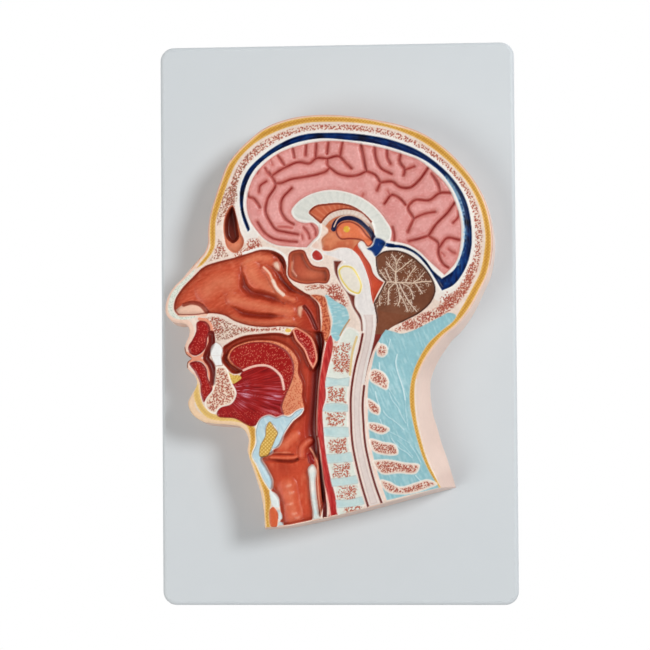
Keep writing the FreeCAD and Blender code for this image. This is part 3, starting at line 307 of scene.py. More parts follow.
# Cerebellum with its lower cistern
CEREBELLUM_RUNS = [
    [(29.2, 46.9), (34.1, 50.4), (41.6, 51.6), (51.2, 49.5), (61, 42.5), (68.2, 33.5), (71.8, 23),
     (69.1, 15.1), (61.5, 7.5), (49.8, 1.2), (39, -4.2), (32.6, -10.6), (26.6, -21), (23.4, -31),
     (20.6, -44)],
    [(20.6, -44), (22.6, -33), (25, -20), (28.4, -8), (29.6, 3), (28.4, 10), (27.6, 14)],
    [(27.6, 14), (31.8, 21.2), (35.9, 29)],
    [(35.9, 29), (31, 34.6), (29.8, 39), (29.2, 46.9)]]
CISTERN_EDGE = [(27, 10), (35.9, 7.5), (43.1, 6.6), (50.3, 4.8), (58.3, 6.6)]
ARBOR = [
    (1.3, [(35.4, 29), (39.6, 29), (43.7, 28.6), (50.3, 28.4), (56.1, 28), (62.8, 29), (68.7, 29)]),
    (1.5, [(43.6, 27.6), (43.4, 33.1), (43.5, 36.4)]),
    (1.0, [(43.5, 35.8), (41.7, 37.6), (39.5, 40.3), (36.8, 43.4)]),
    (1.0, [(43.5, 35.8), (48.5, 39.4), (51.6, 42.1), (55.2, 44.7)]),
    (0.9, [(43.5, 36), (44, 40), (43.1, 45.2), (40.6, 48.8)]),
    (0.7, [(43.8, 40.6), (46.7, 46.1), (48.5, 47.9)]),
    (1.0, [(42.2, 27.7), (38.6, 23.7), (38.1, 18), (37.9, 12.9)]),
    (0.9, [(37.4, 28.4), (34.6, 24.6), (31.6, 17.6), (32.1, 12.4)]),
    (0.9, [(40.4, 29.4), (38.1, 33.5), (35.9, 38.9)]),
    (0.8, [(37.4, 30.2), (35, 33.1), (31.9, 37.6)]),
    (1.0, [(44.2, 27.6), (45.8, 21), (46.2, 16.4), (44.9, 12)]),
    (0.8, [(46.6, 19.6), (50.3, 12.4), (52.1, 7.5)]),
    (1.0, [(46, 27.4), (49.4, 20.5), (53.8, 13.3), (58.3, 7.7)]),
    (0.9, [(47.6, 28.1), (52.9, 25), (55.4, 19.6), (55.9, 16.5)]),
    (0.8, [(57.4, 27.4), (59.7, 24.6), (62.4, 20.4)]),
    (0.9, [(50.7, 29), (53.8, 34.4), (57.9, 39.8)]),
    (0.8, [(56.1, 28.6), (59.7, 30.8), (64.2, 35.8)])]

FRONTAL_SINUS = [(-73.5, 85.2), (-77, 81), (-79.6, 71.5), (-79, 62), (-76.5, 54), (-72, 50.9),
                 (-66.8, 54), (-65, 59.5), (-67.2, 65), (-70, 76)]
FRONTAL_HOLLOW = [(-73.3, 84.3), (-77.2, 79), (-79, 69.5), (-77.6, 61.6), (-73, 58), (-69.5, 60.6),
                  (-69.8, 69.6), (-71.2, 79)]
SPHENOID = [(-31.4, 50.6), (-27, 52.2), (-22, 51.6), (-19.8, 47), (-16.4, 41.6), (-11, 39.8),
            (-5.8, 39.2), (-3.8, 33.6), (-5.6, 29.2), (-12.4, 29.1), (-20.5, 28.5), (-28.6, 30.4),
            (-32.6, 33.4), (-32.9, 42)]

# Nasal cavity: roof from the tip of the nose backwards, then the floor
NASAL_RUNS = [
    [(-112.6, 6.7), (-115.4, 10.4), (-115.2, 16), (-110.2, 25), (-102.1, 33.5), (-93.6, 41.2),
     (-83.7, 44.6), (-73.4, 47), (-62.2, 50.3), (-52, 52.9), (-43, 51.6), (-37, 47.6),
     (-34.8, 41.6), (-34.6, 34.5), (-31.3, 29), (-21.9, 21.9)],
    [(-21.9, 21.9), (-16, 18.8), (-12.4, 14.3), (-10.6, 2.2), (-9.6, -10)],
    [(-9.6, -10), (-18, -9), (-28, -2.8)],
    [(-28, -2.8), (-37.6, -2), (-51, -2.3), (-63.5, -0.7), (-72, 2.2), (-79, 6.2), (-89.1, 7.9),
     (-99.9, 6.8), (-112.6, 6.7)]]
NOSTRIL_BULGE = [(-115, 9.6), (-111.5, 13.1), (-103.5, 15.5), (-97.6, 14), (-92, 9.6), (-91.4, 7.2),
                 (-103, 6.2), (-113, 6.4)]
NOSTRIL_SHADOW = [(-109, 14.2), (-103.4, 15.6), (-97.4, 14.2), (-92, 8.8)]
TURBINATES = [
    (1.5, 7.5, [(-60, 38), (-56, 31), (-49, 27.4), (-41, 21.6)]),
    (1.3, 5.0, [(-74, 18), (-62, 14.4), (-52, 12.6), (-42, 10.6), (-33, 8.6)]),
    (1.8, 2.6, [(-51, 40), (-47, 35), (-43.4, 28), (-38, 21), (-30, 16.8)]),
    (0.9, 9.0, [(-92, 24), (-84, 30), (-76, 30)]),
    (0.9, 3.0, [(-74, 4.4), (-60, 1.6), (-45, 1.4), (-32, 2)]),
    (1.0, 4.0, [(-64, 44), (-56, 47.6), (-47, 47)])]
MEATUS = [
    (3.6, 1.7, [(-67.6, 41.4), (-66.4, 34), (-65.2, 27), (-60.4, 22.4), (-52, 20.9), (-44, 17.8),
                (-36.4, 14)]),
    (2.4, 1.2, [(-79.7, 11.6), (-74.7, 12), (-66.2, 7.7), (-55, 5.9), (-37.6, 5.6)]),
    (2.4, 1.2, [(-52, 41.4), (-46.4, 40.8), (-42, 37.4), (-38, 31), (-32, 24.4), (-24, 20.6)]),
    (2.0, 1.0, [(-51, 51.6), (-45, 51), (-39, 47), (-36.4, 42), (-36.2, 36)])]
# Painted highlight by the edge of the recess at the top of the nasal cavity
NASAL_HIGHLIGHT = [(-44, 44), (-41.4, 44.8), (-39.4, 41.4), (-40, 37.6), (-43, 39)]
TORUS = [(-26.3, 12.3), (-26.9, 7), (-24.8, 4.2), (-23.7, 8.4), (-22.3, 12.5)]
TORUS_GROOVE = [(-22.3, 12), (-19.4, 8.2), (-16.4, 2.4), (-13.8, -4)]
PALATE_SPOT = (-33.6, -5, 2.2)

# Throat and windpipe
AIRWAY_RUNS = [
    [(-28, -2.6), (-24.4, -4.4), (-17.2, -10), (-13.7, -18.6), (-13.1, -26.6), (-16.2, -33)],
    [(-16.2, -33), (-18.9, -27.9), (-22.8, -18.6), (-28.4, -11.4), (-30.8, -4.7)],
    [(-30.8, -4.7), (-32.8, -8.2), (-38.6, -7), (-55, -7.4), (-66.7, -9), (-76.5, -13.6),
     (-80.4, -16.6), (-80.4, -21.2)],
    [(-80.4, -21.2), (-81.6, -26), (-78.3, -31), (-73.4, -35.6), (-69.4, -35.4), (-66.4, -33.8)],
    [(-66.4, -33.8), (-72.5, -29.7), (-77.1, -24), (-75.2, -18.9), (-66, -13.8), (-52.6, -12),
     (-39.1, -14.2), (-31.4, -19.5), (-27, -27.1), (-26.9, -36), (-24.1, -42.7), (-24.1, -53.1),
     (-22.6, -60)],
    [(-22.6, -60), (-23.4, -63.4), (-30.5, -70.1), (-38.4, -80.9), (-44.8, -90.4)],
    [(-44.8, -90.4), (-54.7, -95.9), (-54.2, -101.8), (-46.5, -119), (-41.6, -126),
     (-39.8, -137), (-40.4, -145)],
    [(-40.4, -145), (-12, -139)],
    [(-12, -139), (-8.2, -124.9), (-8.8, -107), (-11.8, -91.2), (-11.1, -84.4)],
    [(-11.1, -84.4), (-13.3, -70), (-12.6, -55), (-11, -36), (-9.6, -24), (-8, -12), (-9.4, -6)],
    [(-9.4, -6), (-18, -5.4), (-28, -2.6)]]
PHARYNX = (5.4, 2.8, [(-11.6, -8), (-11.2, -18), (-11.8, -27), (-14.2, -35), (-15, -45),
                      (-15.6, -55), (-16.6, -65), (-17.4, -75), (-16.4, -84), (-15.6, -92)])
PALATE_RUNS = [
    [(-28, -2.6), (-24.4, -4.4), (-17.2, -10), (-13.9, -18.6), (-13.3, -26.6), (-16.2, -33)],
    AIRWAY_RUNS[1],
    [(-30.8, -4.7), (-28, -2.6)]]
PALATE_MUSCLE = [(-27.4, -5.6), (-22, -9.4), (-18, -15.4), (-16, -23), (-15.8, -29), (-17.6, -27.4),
                 (-20.6, -19.6), (-25.4, -12)]
VOCAL_RIDGES = [
    (4.2, 1.2, [(-41, -88), (-35, -85), (-30, -80)]),
    (1.7, 1.2, [(-47, -95.8), (-42, -96.1), (-34, -96.2), (-29, -95.6)]),
    (3.0, 2.0, [(-24.8, -94.6), (-24.2, -88.5), (-19.2, -84)]),
    (7.0, 1.0, [(-35, -116), (-33, -128), (-31, -138)])]
VOCAL_CREASES = [
    (0.7, 0.6, [(-49, -93.9), (-44, -93.6), (-38, -93.7), (-31, -93.8)]),
    (1.4, 1.2, [(-50.6, -97.5), (-44, -98), (-36, -98.7), (-30.6, -98.4), (-28, -97.2)])]
ARYTENOID = [(-20.6, -93.4), (-18.7, -92.6), (-16, -97.6), (-15.8, -100), (-19.2, -100.6),
             (-20.7, -96.6)]
CRICOID_BACK = [(-19.5, -102.1), (-16.8, -100.9), (-14.9, -103.3), (-14.9, -113), (-14.2, -124),
                (-12.8, -134.7), (-11.9, -142), (-16.2, -143), (-17.5, -134), (-18.8, -124),
                (-19.7, -112)]
GULLET = [(-11.6, -94), (-10.9, -104), (-10.5, -113), (-9.4, -122), (-8.4, -130), (-8.4, -138)]
# Painted highlights: light lines down the back wall of the throat
THROAT_HIGHLIGHTS = [
    (0.6, [(-8, -16.7), (-9.2, -25), (-11, -35), (-12.4, -45), (-13.1, -55), (-13.7, -65),
           (-13.9, -80)]),
    (0.6, [(-13, -82), (-11.3, -93.5), (-10.3, -104), (-9.2, -113), (-7.1, -122), (-5.3, -131),
           (-4.6, -137)])]

TONGUE_RUNS = [
    [(-77.9, -24), (-75.6, -28.3), (-67, -33.3), (-69.7, -39.6), (-77.2, -48.5), (-84.7, -60.9),
     (-85, -64.9), (-72.7, -67.5), (-57.6, -72.7)],
    [(-57.6, -72.7), (-54.6, -68.6), (-50.4, -65.7), (-42.7, -67.3), (-35, -66.1)],
    [(-35, -66.1), (-29, -63.2), (-22.6, -60)],
    [*AIRWAY_RUNS[4][:2:-1], (-77.9, -24)]]
TONGUE_MUSCLE = [
    (-75.6, -24.2), (-72.5, -18.2), (-66, -15.1), (-54, -13.4), (-43.4, -15), (-35.1, -19.9),
    (-30.6, -27), (-30.2, -36), (-33, -44.6), (-37, -53.5), (-38.8, -60), (-37.6, -65.8),
    (-42.7, -67.2), (-50.4, -65.9), (-54.6, -68.8), (-57.8, -72.4), (-72.7, -67.2), (-84.8, -64.6),
    (-83.4, -60.4), (-75.4, -56.6), (-72.6, -50), (-75.6, -45.4), (-69.8, -39.6), (-67, -33.4),
    (-72, -29.2)]
TONGUE_LINE = [(-65.8, -33.1), (-60.2, -30.9), (-54.4, -29.8), (-48, -30.4), (-43, -33.4),
               (-39.4, -37.4), (-37.6, -43.4), (-37, -47)]
TONGUE_FANS = [(-66, -51, 8, 9), (-44, -55, 7, 9)]
FAT_UNDER_TONGUE = [(-77.6, -34), (-76.2, -39), (-73.4, -42.8), (-70, -41), (-67.4, -38.6),
                    (-69.4, -36.6), (-72.8, -36.7), (-75.4, -35.3)]

UPPER_LIP = [(-99, 1.4), (-95.4, 2.8), (-91, 0.4), (-89.6, -4.2), (-91.6, -9.4), (-92.7, -16.2),
             (-96.3, -20.7), (-100.8, -22.5), (-104.8, -20.3), (-105.6, -16.6), (-102.6, -11.3),
             (-99.7, -5)]
LOWER_LIP = [(-104.6, -28), (-101.2, -26.5), (-96.3, -27.4), (-92.7, -31.5), (-91.6, -38),
             (-88.4, -47.2), (-91.4, -52), (-94.8, -55.6), (-96.4, -51), (-97.2, -42.7),
             (-101.2, -33.7)]
UPPER_LIP_RIM = [(-97.4, 3.8), (-92, 2.6), (-88.4, -3.6), (-90, -9), (-91.3, -16), (-95, -21.8),
                 (-101.6, -24.2), (-106.6, -20.6)]
LOWER_LIP_RIM = [(-106, -27), (-101, -25.1), (-95.2, -26), (-91.2, -31), (-89.9, -38), (-87, -46.6)]
LIP_LINES = [(0.35, [(-108.2, -16.4), (-107, -21), (-103.6, -24.2)]),
             (0.35, [(-103.8, -25.2), (-106, -27.4), (-106.4, -31)])]
VESTIBULE = (2.4, 1.3, [(-89, -7), (-88.6, -13), (-91.4, -19.6), (-92.6, -24.3), (-89.6, -28.8),
                        (-87.8, -34.6), (-87.8, -41.8)])
TOOTH_RUNS = [
    [(-85.6, -12.8), (-89, -15.6), (-89.8, -21), (-88.2, -25.2), (-86, -30)],
    [(-86, -30), (-80.8, -29.6)],
    [(-80.8, -29.6), (-81.8, -23.6), (-80.8, -18), (-83, -14.4), (-85.6, -12.8)]]
MANDIBLE = [(-84.6, -30.8), (-86.6, -38), (-87.8, -46.6), (-93.4, -55.6), (-92.4, -60.4),
            (-87, -63.8), (-83.4, -60), (-74.4, -56.4), (-71.4, -50), (-74.7, -42), (-80.4, -30.6)]

# Cartilages in front of the throat
HYOID = [(-37.8, -65.9), (-33, -66.6), (-28, -62.6), (-23.4, -61.2), (-24.4, -63.4), (-31, -69.2),
         (-36.4, -76.9), (-43, -88.6), (-45.4, -89.4), (-44.6, -83.4), (-41.8, -78.4),
         (-45.4, -71.9), (-49, -72), (-50, -80), (-46, -92), (-53.8, -96.4), (-50.2, -103.6),
         (-46, -114), (-47, -118.4), (-50, -114.6), (-57, -100), (-59.9, -94.8), (-57, -86),
         (-57, -75.6), (-53, -67.6),
         (-48.1, -65.7), (-42.7, -67.3)]
FAT_BODY = [(-50.4, -80), (-49.6, -74), (-47.4, -70.2), (-44.2, -74.2), (-41.8, -78.2),
            (-43.6, -82.4), (-46.2, -88.6), (-49.6, -94.6), (-54.2, -95), (-54.4, -88.6)]
CRICOID_BEAD = [(-47.4, -119.2), (-44.6, -120.6), (-40.7, -127), (-41.4, -131.4), (-45, -130.3),
                (-47.3, -124.4)]
TRACHEA_RINGS = [[(-41.8, -132.6), (-39.7, -135), (-39.6, -140), (-41.4, -140)],
                 [(-41.2, -141.7), (-39.2, -142), (-38, -144.9), (-41.6, -145.4)]]
GLAND_BULB = [(-45.6, -130.9), (-42.6, -133.6), (-41.9, -140.6), (-43.4, -145.4), (-46, -145.4),
              (-48, -138), (-47, -131.9)]

# Front muscle, bones and discs of the neck
FRONT_MUSCLE = [(-3.2, -8.6), (-5.4, -12), (-7.8, -21), (-11, -38), (-12.6, -56), (-13.6, -80),
                (-11.3, -93.5), (-10, -107), (-7.1, -121), (-4.8, -132), (-5.4, -140), (0.4, -137),
                (0.4, -128), (-3.2, -113), (-6, -98.6), (-8.4, -82), (-9, -66), (-7.4, -56),
                (-6.8, -43), (-5.2, -32), (-2.6, -22), (-1.8, -13)]
SPINE = [(9, -3), (4, -9), (1.6, -15), (-4.4, -30), (-7.4, -43.2), (-6.8, -52), (-9.4, -62),
         (-9, -74), (-7.2, -93), (-4.4, -109), (-0.6, -124), (1.4, -137), (19.4, -131),
         (16, -113), (12.6, -99), (10, -86), (9, -66), (9.2, -50), (11.4, -36), (15.4, -17),
         (18, -8)]
DISCS = [
    [(-6.4, -38.7), (2, -40), (9.9, -38.9), (9.4, -45), (2, -44.2), (-7.2, -45.6)],
    [(-7.2, -57.8), (0, -57.2), (8.8, -58.4), (8.8, -63), (0, -63.4), (-9.2, -62.6)],
    [(-8.8, -74.6), (0, -74), (9.1, -74.6), (9.6, -80.8), (1, -81.4), (-8, -80.4)],
    [(-7, -93.8), (2, -93.4), (11.4, -92.2), (12.6, -98.6), (4, -99.2), (-5.8, -99.8)],
    [(-4.1, -111.2), (5, -110.4), (15, -108.6), (16.2, -114), (7, -115.4), (-2.9, -116.4)],
    [(-0.5, -126.2), (9, -126), (19, -123.6), (20.2, -128.8), (10, -131), (0.8, -131.6)]]
VERTEBRAE = [(4.6, -25, 6, 10), (0.6, -51, 6, 5.2), (-0.2, -68.6, 6, 4.6), (1, -87.6, 6, 5),
             (4, -105.2, 6, 5), (7.4, -120.6, 6.4, 4.6), (12, -133, 6, 2.4)]
CORD_LINES = [
    [(19.6, -8), (17.3, -19), (14.6, -28.8), (12.4, -39.6), (11, -50.4), (10.8, -66.5),
     (11.8, -86.2), (14.3, -100.1), (18.3, -116.3), (22.6, -131)],
    [(20.4, -45), (19.2, -57), (19.6, -70.6), (20.8, -86.2), (23.5, -100.1), (28.2, -117.2),
     (32.4, -129)]]
DURA_BACK = [(31.3, -14.7), (28.1, -19.9), (25.6, -29.3), (22.9, -42.3), (22.2, -59.4),
             (22.6, -76), (25.5, -94.3), (30, -110.9), (35, -126)]
SPINES = [
    [(29.6, -19.6), (32.4, -15), (36.4, -16.4), (37.3, -21.4), (34.4, -24.4), (30.4, -23.6)],
    [(23.8, -38), (26.3, -33.4), (33, -34.6), (38, -42), (36.6, -47.7), (30.3, -45), (24.5, -40.8)],
    [(22.7, -54), (27, -56), (31.9, -61.4), (30.8, -65.4), (25, -63.6), (22.7, -60)],
    [(22.7, -71.9), (31, -71.9), (38.4, -76.2), (33.6, -79.4), (27, -77.8), (23.4, -75.4)],
    [(24.2, -82.8), (33, -84.8), (43, -87.8), (44.2, -93.2), (35.4, -94.3), (26, -90.8)],
    [(26.4, -98.4), (31.4, -97.5), (48.8, -99.7), (59.6, -102.2), (57.8, -106.4), (44.4, -107.2),
     (31.4, -107), (28, -103)],
    [(31.4, -112), (37.6, -113.1), (44.4, -116.6), (57.8, -113.6), (65, -111.8), (71.8, -115),
     (65, -118.2), (44.4, -122.2), (37.4, -121), (33, -117)]]
STREAKS = [
    (0.42, [(44.1, -22.8), (43.1, -28.3), (44.2, -34.5), (46.6, -42), (48.4, -48.2),
            (49.6, -55.1)]),
    (0.12, [(49.6, -55.1), (50.2, -64.7), (51.3, -73.6)]),
    (0.2, [(38.2, -49.7), (40.3, -55.1), (44.4, -60.6), (46.8, -66.1), (49.9, -71.6)]),
    (0.2, [(34.2, -63.4), (37, -66.8), (41.1, -69.6), (45.2, -73), (48.6, -76.4)]),
    (0.3, [(28.3, -49), (29.5, -54.5), (31.1, -59)]), (0.25, [(31.6, -68.9), (33.3, -73.3)]),
    (0.35, [(31.2, -28.4), (31.6, -33)]), (0.25, [(39.3, -12.2), (38.6, -15), (37.9, -19)]),
    (0.2, [(39.5, -82.4), (42.6, -86.4), (45.4, -89.5), (50.1, -92.4), (54.3, -96.3)]),
    (0.1, [(43.9, -84), (48, -87.4), (54.9, -95.4)]),
    (0.15, [(52.8, -87), (56.9, -93), (60.4, -99.8)]),
    (0.1, [(56.2, -88), (60.4, -95), (62.4, -99)]), (0.3, [(56.4, -108.9), (60.1, -112.8)]),
    (0.1, [(36, -44), (40, -50), (45, -58)]), (0.1, [(37, -77), (44, -80.6), (52.6, -86)])]

# Skull base, nape muscle and the ligament before the cord
CLIVUS_WEDGE = [(-6.5, 20.3), (-3.5, 8.9), (-1.8, 2), (-2.6, -9), (0.6, -13), (5.6, -6.4),
                (10, 5.3), (8, 10.5), (0, 16)]
NAPE_RUNS = [
    [(36, -5), (42, -6.6), (47, -8), (53.3, -6.6), (64.1, -1.7), (74.9, 3.7), (81.6, 6.6),
     (86.3, 4.6), (84, 0.4)],
    [(84, 0.4), *GOLD_RUNS[2][10:1:-1], (73, -117.6)],
    [(73, -117.6), (35, -126.6)],
    [*DURA_BACK[:1:-1], (29, -18), (33, -9)],
    [(33, -9), (36, -5)]]
GRANULAR = [(-17.4, 20), (-12, 14.7), (-9.6, 3), (-9.8, -8), (-6.5, -14), (-3.4, -6), (-3, 0),
            (-4.8, 9), (-7.4, 19)]
LIGAMENT = [(15.4, -10), (12.4, -20), (11, -30), (10.4, -37)]

# Red marrow in the bone: bands, fields, then the middle of each patch, its half size and how dense
SPECKLE_BANDS = [
    (3.6, [(98, 38), (94, 28), (87, 17.6), (79, 10.6), (70, 5.6), (60, 1.4), (51, -2.2)]),
    (1.6, [(51, -2.6), (44, -5.4)]),
    (1.8, [(-20, 25), (-12, 26), (-4, 25), (2, 19), (6, 13.4)]),
    (2.0, [(-70, 49.4), (-62, 53.4), (-54, 55.6)])]
SPECKLE_FIELDS = [
    [(-95, 5), (-88, 6), (-80, 4), (-72, 0), (-64, -2.5), (-38, -4), (-38, -5.6), (-55, -5.4),
     (-66, -7), (-76, -11.4), (-85, -12.6), (-88, -4)],
    [(-97, 42.4), (-91, 46), (-85.6, 53), (-84, 62), (-80.6, 60), (-79.4, 54), (-74, 48.6),
     (-86, 45.4)],
    [(-85, 68), (-84.6, 80), (-79.6, 96), (-70.4, 104), (-68.6, 92), (-70, 86), (-76, 84),
     (-80.6, 74)]]
SPECKLE_PATCHES = [
    (-58, 57, 5, 4, 0.9), (0, 22, 6, 6, 0.9), (3, 15, 6, 6, 0.8), (-7, 34, 3, 4, 0.4),
    (68, 4, 9, 3, 0.8), (56, -2, 9, 3, 0.6), (80, 14, 5, 8, 0.5), (-82, -46, 6, 9, 0.8),
    (-84, -56, 7, 4, 0.7), (-58, -4, 14, 1.6, 0.7), (-40, -4, 6, 1.4, 0.4), (-86, 2, 6, 3, 0.5),
    (-84, -4, 4, 3, 0.5), (-96, 44, 4, 2, 0.3), (-82, 53, 4, 3, 0.6), (6, -22, 4, 5, 0.6),
    (4, -32, 5, 4, 0.7), (58, -115.6, 9, 1.4, 0.8), (41, -118, 5, 1.8, 0.8),
    (45, -103, 10, 1.6, 0.8), (35, -89, 6, 1.8, 0.8), (30.5, -75.6, 5, 1.4, 0.7),
    (27.6, -60, 3, 2.4, 0.6), (31, -39.4, 4, 2.4, 0.7), (33.4, -19.6, 2.2, 2.4, 0.7)]


# Curves and fields
def smooth(points, closed=False, step=0.8):
    """A smooth line through the points; columns past the first two are carried along."""
    p = np.array(points, float)
    if closed:
        p = np.vstack([p[-2:], p, p[:3]])
    gaps = np.hypot(np.diff(p[:, 0]), np.diff(p[:, 1]))
    slope = np.diff(p, axis=0) / gaps[:, None]
    before = gaps[:-1, None]
    after = gaps[1:, None]
    middle = (slope[:-1] * after + slope[1:] * before) / (before + after)
    tangent = np.vstack([slope[:1], middle, slope[-1:]])
    first, last = (2, len(p) - 3) if closed else (0, len(p) - 1)
    parts = []
    for i in range(first, last):
        count = max(2, math.ceil(gaps[i] / step))
        t = (np.arange(count) / count)[:, None]
        parts.append((2 * t**3 - 3 * t**2 + 1) * p[i]
                     + (t**3 - 2 * t**2 + t) * gaps[i] * tangent[i]
                     + (3 * t**2 - 2 * t**3) * p[i + 1]
                     + (t**3 - t**2) * gaps[i] * tangent[i + 1])
    if not closed:
        parts.append(p[-1:])
    return np.vstack(parts)


def loop(shape):
    """A closed line: a list of runs keeps its corners, points are rounded, an array stays."""
    if isinstance(shape, np.ndarray):
        return shape
    if isinstance(shape[0], list):
        return np.vstack([smooth(run)[:-1] for run in shape])
    return smooth(shape, closed=True)


def inside(line):
    """Which grid points lie inside a closed line."""
    a, b = line, np.roll(line, -1, axis=0)
    low = np.minimum(a[:, 1], b[:, 1])
    high = np.maximum(a[:, 1], b[:, 1])
    first = np.clip(np.ceil((low - YS[0]) / STEP), 0, len(YS)).astype(int)
    last = np.clip(np.ceil((high - YS[0]) / STEP), 0, len(YS)).astype(int)
    count = last - first
    which = np.repeat(np.arange(len(a)), count)
    row = np.arange(count.sum()) - np.repeat(np.cumsum(count) - count, count)
    row = row + np.repeat(first, count)
    part = (YS[row] - a[which, 1]) / (b[which, 1] - a[which, 1])
    x = a[which, 0] + part * (b[which, 0] - a[which, 0])
    column = np.clip(np.ceil((x - XS[0]) / STEP), 0, len(XS) - 1).astype(int)
    crossings = np.zeros(X.shape, int)
    np.add.at(crossings, (row, column), 1)
    return np.cumsum(crossings, axis=1) % 2 == 1


def near(line, reach, closed=False, spot=None):
    """Distance from each grid point to a line, no more than reach."""
    best = np.full(X.shape, float(reach))
    ends = np.roll(line, -1, axis=0) if closed else line[1:]
    for (ax, ay), (bx, by) in zip(line, ends):
        c0 = max(0, int((min(ax, bx) - reach - XS[0]) / STEP))
        c1 = max(0, int((max(ax, bx) + reach - XS[0]) / STEP) + 2)
        r0 = max(0, int((min(ay, by) - reach - YS[0]) / STEP))
        r1 = max(0, int((max(ay, by) + reach - YS[0]) / STEP) + 2)
        x = X[r0:r1, c0:c1] - ax
        y = Y[r0:r1, c0:c1] - ay
        ex, ey = bx - ax, by - ay
        t = np.clip((x * ex + y * ey) / max(ex * ex + ey * ey, 1e-9), 0, 1)
        d = np.hypot(x - t * ex, y - t * ey)
        window = best[r0:r1, c0:c1]
        if spot is not None:
            closer = d < window
            spot[0][r0:r1, c0:c1][closer] = (ax + t * ex)[closer]
            spot[1][r0:r1, c0:c1][closer] = (ay + t * ey)[closer]
        np.minimum(window, d, out=window)
    return best


def depth_in(shape, reach=3.0):
    """How far inside a closed line each grid point is; below zero outside."""
    line = loop(shape)
    return near(line, reach, closed=True) * np.where(inside(line), 1, -1)


def polar(centre):
    """Angle and distance of each grid point from a centre."""
    x, y = X - centre[0], Y - centre[1]
    return np.arctan2(y, x), np.hypot(x, y)


def line_at(points):
    """How high a line from left to right lies over each X."""
    return np.interp(X, [x for x, y in points], [y for x, y in points])


def net(pitch):
    """Crossing diagonal threads, from one on them to below zero between them."""
    return np.maximum(np.sin((X + Y) * pitch), np.sin((X - Y) * pitch))


def unit(values):
    """Values held between zero and one."""
    return np.clip(values, 0, 1)


def soft(d, width=0.5):
    """Zero to one over a width, with d = 0 in its middle."""
    t = unit(d / width + 0.5)
    return t * t * (3 - 2 * t)


def dome(d, half):
    """A rounded section, one where d is 0 and nothing from half on."""
    return unit(1 - (d / half) ** 2)


def away_from(point, length, least):
    """From least at a point to one at a length from it."""
    return np.clip(polar(point)[1] / length, least, 1)


def noise(u, v, size, seed):
    """Smooth random values from -1 to 1."""
    lattice = np.random.default_rng(seed).random((LATTICE, LATTICE)) * 2 - 1
    a, b = u / size, v / size
    i, j = np.floor(a).astype(int), np.floor(b).astype(int)
    s, t = a - i, b - j
    s, t = s * s * (3 - 2 * s), t * t * (3 - 2 * t)
    i, j, k, m = i % LATTICE, j % LATTICE, (i + 1) % LATTICE, (j + 1) % LATTICE
    low = lattice[i, j] * (1 - s) + lattice[k, j] * s
    high = lattice[i, m] * (1 - s) + lattice[k, m] * s
    return low * (1 - t) + high * t


def cells(u, v, size, seed):
    """Distance to the nearest of scattered grains, in grain sizes, and that grain's own tone."""
    px, py, tones = np.random.default_rng(seed).random((3, LATTICE, LATTICE))
    a, b = u / size, v / size
    i, j = np.floor(a).astype(int), np.floor(b).astype(int)
    best = np.full(a.shape, 9.0)
    tone = np.zeros(a.shape)
    for di in (-1, 0, 1):
        for dj in (-1, 0, 1):
            k, m = (i + di) % LATTICE, (j + dj) % LATTICE
            d = np.hypot(i + di + px[k, m] - a, j + dj + py[k, m] - b)
            closer = d < best
            best = np.where(closer, d, best)
            tone = np.where(closer, tones[k, m], tone)
    return best, tone


colour = np.zeros(X.shape + (3,))
height = np.zeros(X.shape)


def paint(mask, tone):
    """Brings the colour to a tone, as far as the mask says."""
    colour[...] += mask[..., None] * (np.array(tone, float) - colour)


def level(mask, depth):
    """Brings the height to one depth, as far as the mask says."""
    height[...] += mask * (depth - height)


def field(shape, tone, depth=None, rim=0.9, reach=3.0):
    """Paints a closed area and brings it to one depth; returns how far inside each point is."""
    d = depth_in(shape, reach)
    paint(soft(d), tone)
    if depth is not None:
        level(soft(d - rim / 3, rim), depth)
    return d


def edge_line(d, half, tone, strength=1.0, width=0.5):
    """A painted line along the edge of an area."""
    paint(soft(half - np.abs(d), width) * strength, tone)


def swell(d, rise, width):
    """Rounds an area up from its edge."""
    height[...] += rise * np.sqrt(np.clip(d, 0, width) / width)


def stroke(points, half, tone, rise=0.0, strength=1.0):
    """A painted line with a rounded ridge, or a groove where rise is below zero."""
    d = near(smooth(points), half + 1.2)
    paint(soft(half - d) * strength, tone)
    if rise:
        height[...] += rise * dome(d, half)


def ridge(points, half, rise, mask, tone, strength):
    """A rounded ridge inside a mask, its crest painted lighter as a highlight."""
    d = near(smooth(points), half)
    height[...] += rise * np.sqrt(dome(d, half)) * mask
    paint(unit(1 - d / half) * mask * strength, tone)


def crease(d, half, drop, mask, tone, spread, strength):
    """A groove inside a mask, darkened with painted shade; d is the distance from its line."""
    paint(np.exp(-((d / half / spread) ** 2)) * mask * strength, tone)
    height[...] -= drop * dome(d, half) * mask


def grain(mask, tone, size, seed, share=0.5, spread=0.36, dent=0.0, u=X, v=Y):
    """Scattered specks of one tone inside a mask."""
    d, own = cells(u, v, size, seed)
    specks = soft(spread - d, 0.25) * (own < share) * mask
    paint(specks, tone)
    height[...] += dent * specks


def patch(x, y, half_x, half_y):
    """A soft round patch, one in the middle and fading outwards."""
    return np.exp(-((X - x) / half_x) ** 2 - ((Y - y) / half_y) ** 2)


# The head outline, with the foot of its side
def side_run(points):
    """The points of a run, each with the foot of the side below it."""
    p = np.array(points, float)
    along = np.vstack([p[1] - p[0], p[2:] - p[:-2], p[-1] - p[-2]])
    length = np.hypot(along[:, 0], along[:, 1])
    out = np.column_stack([-along[:, 1], along[:, 0]]) / length[:, None] * p[:, 2:]
    return np.column_stack([p[:, :2], p[:, :2] + out])


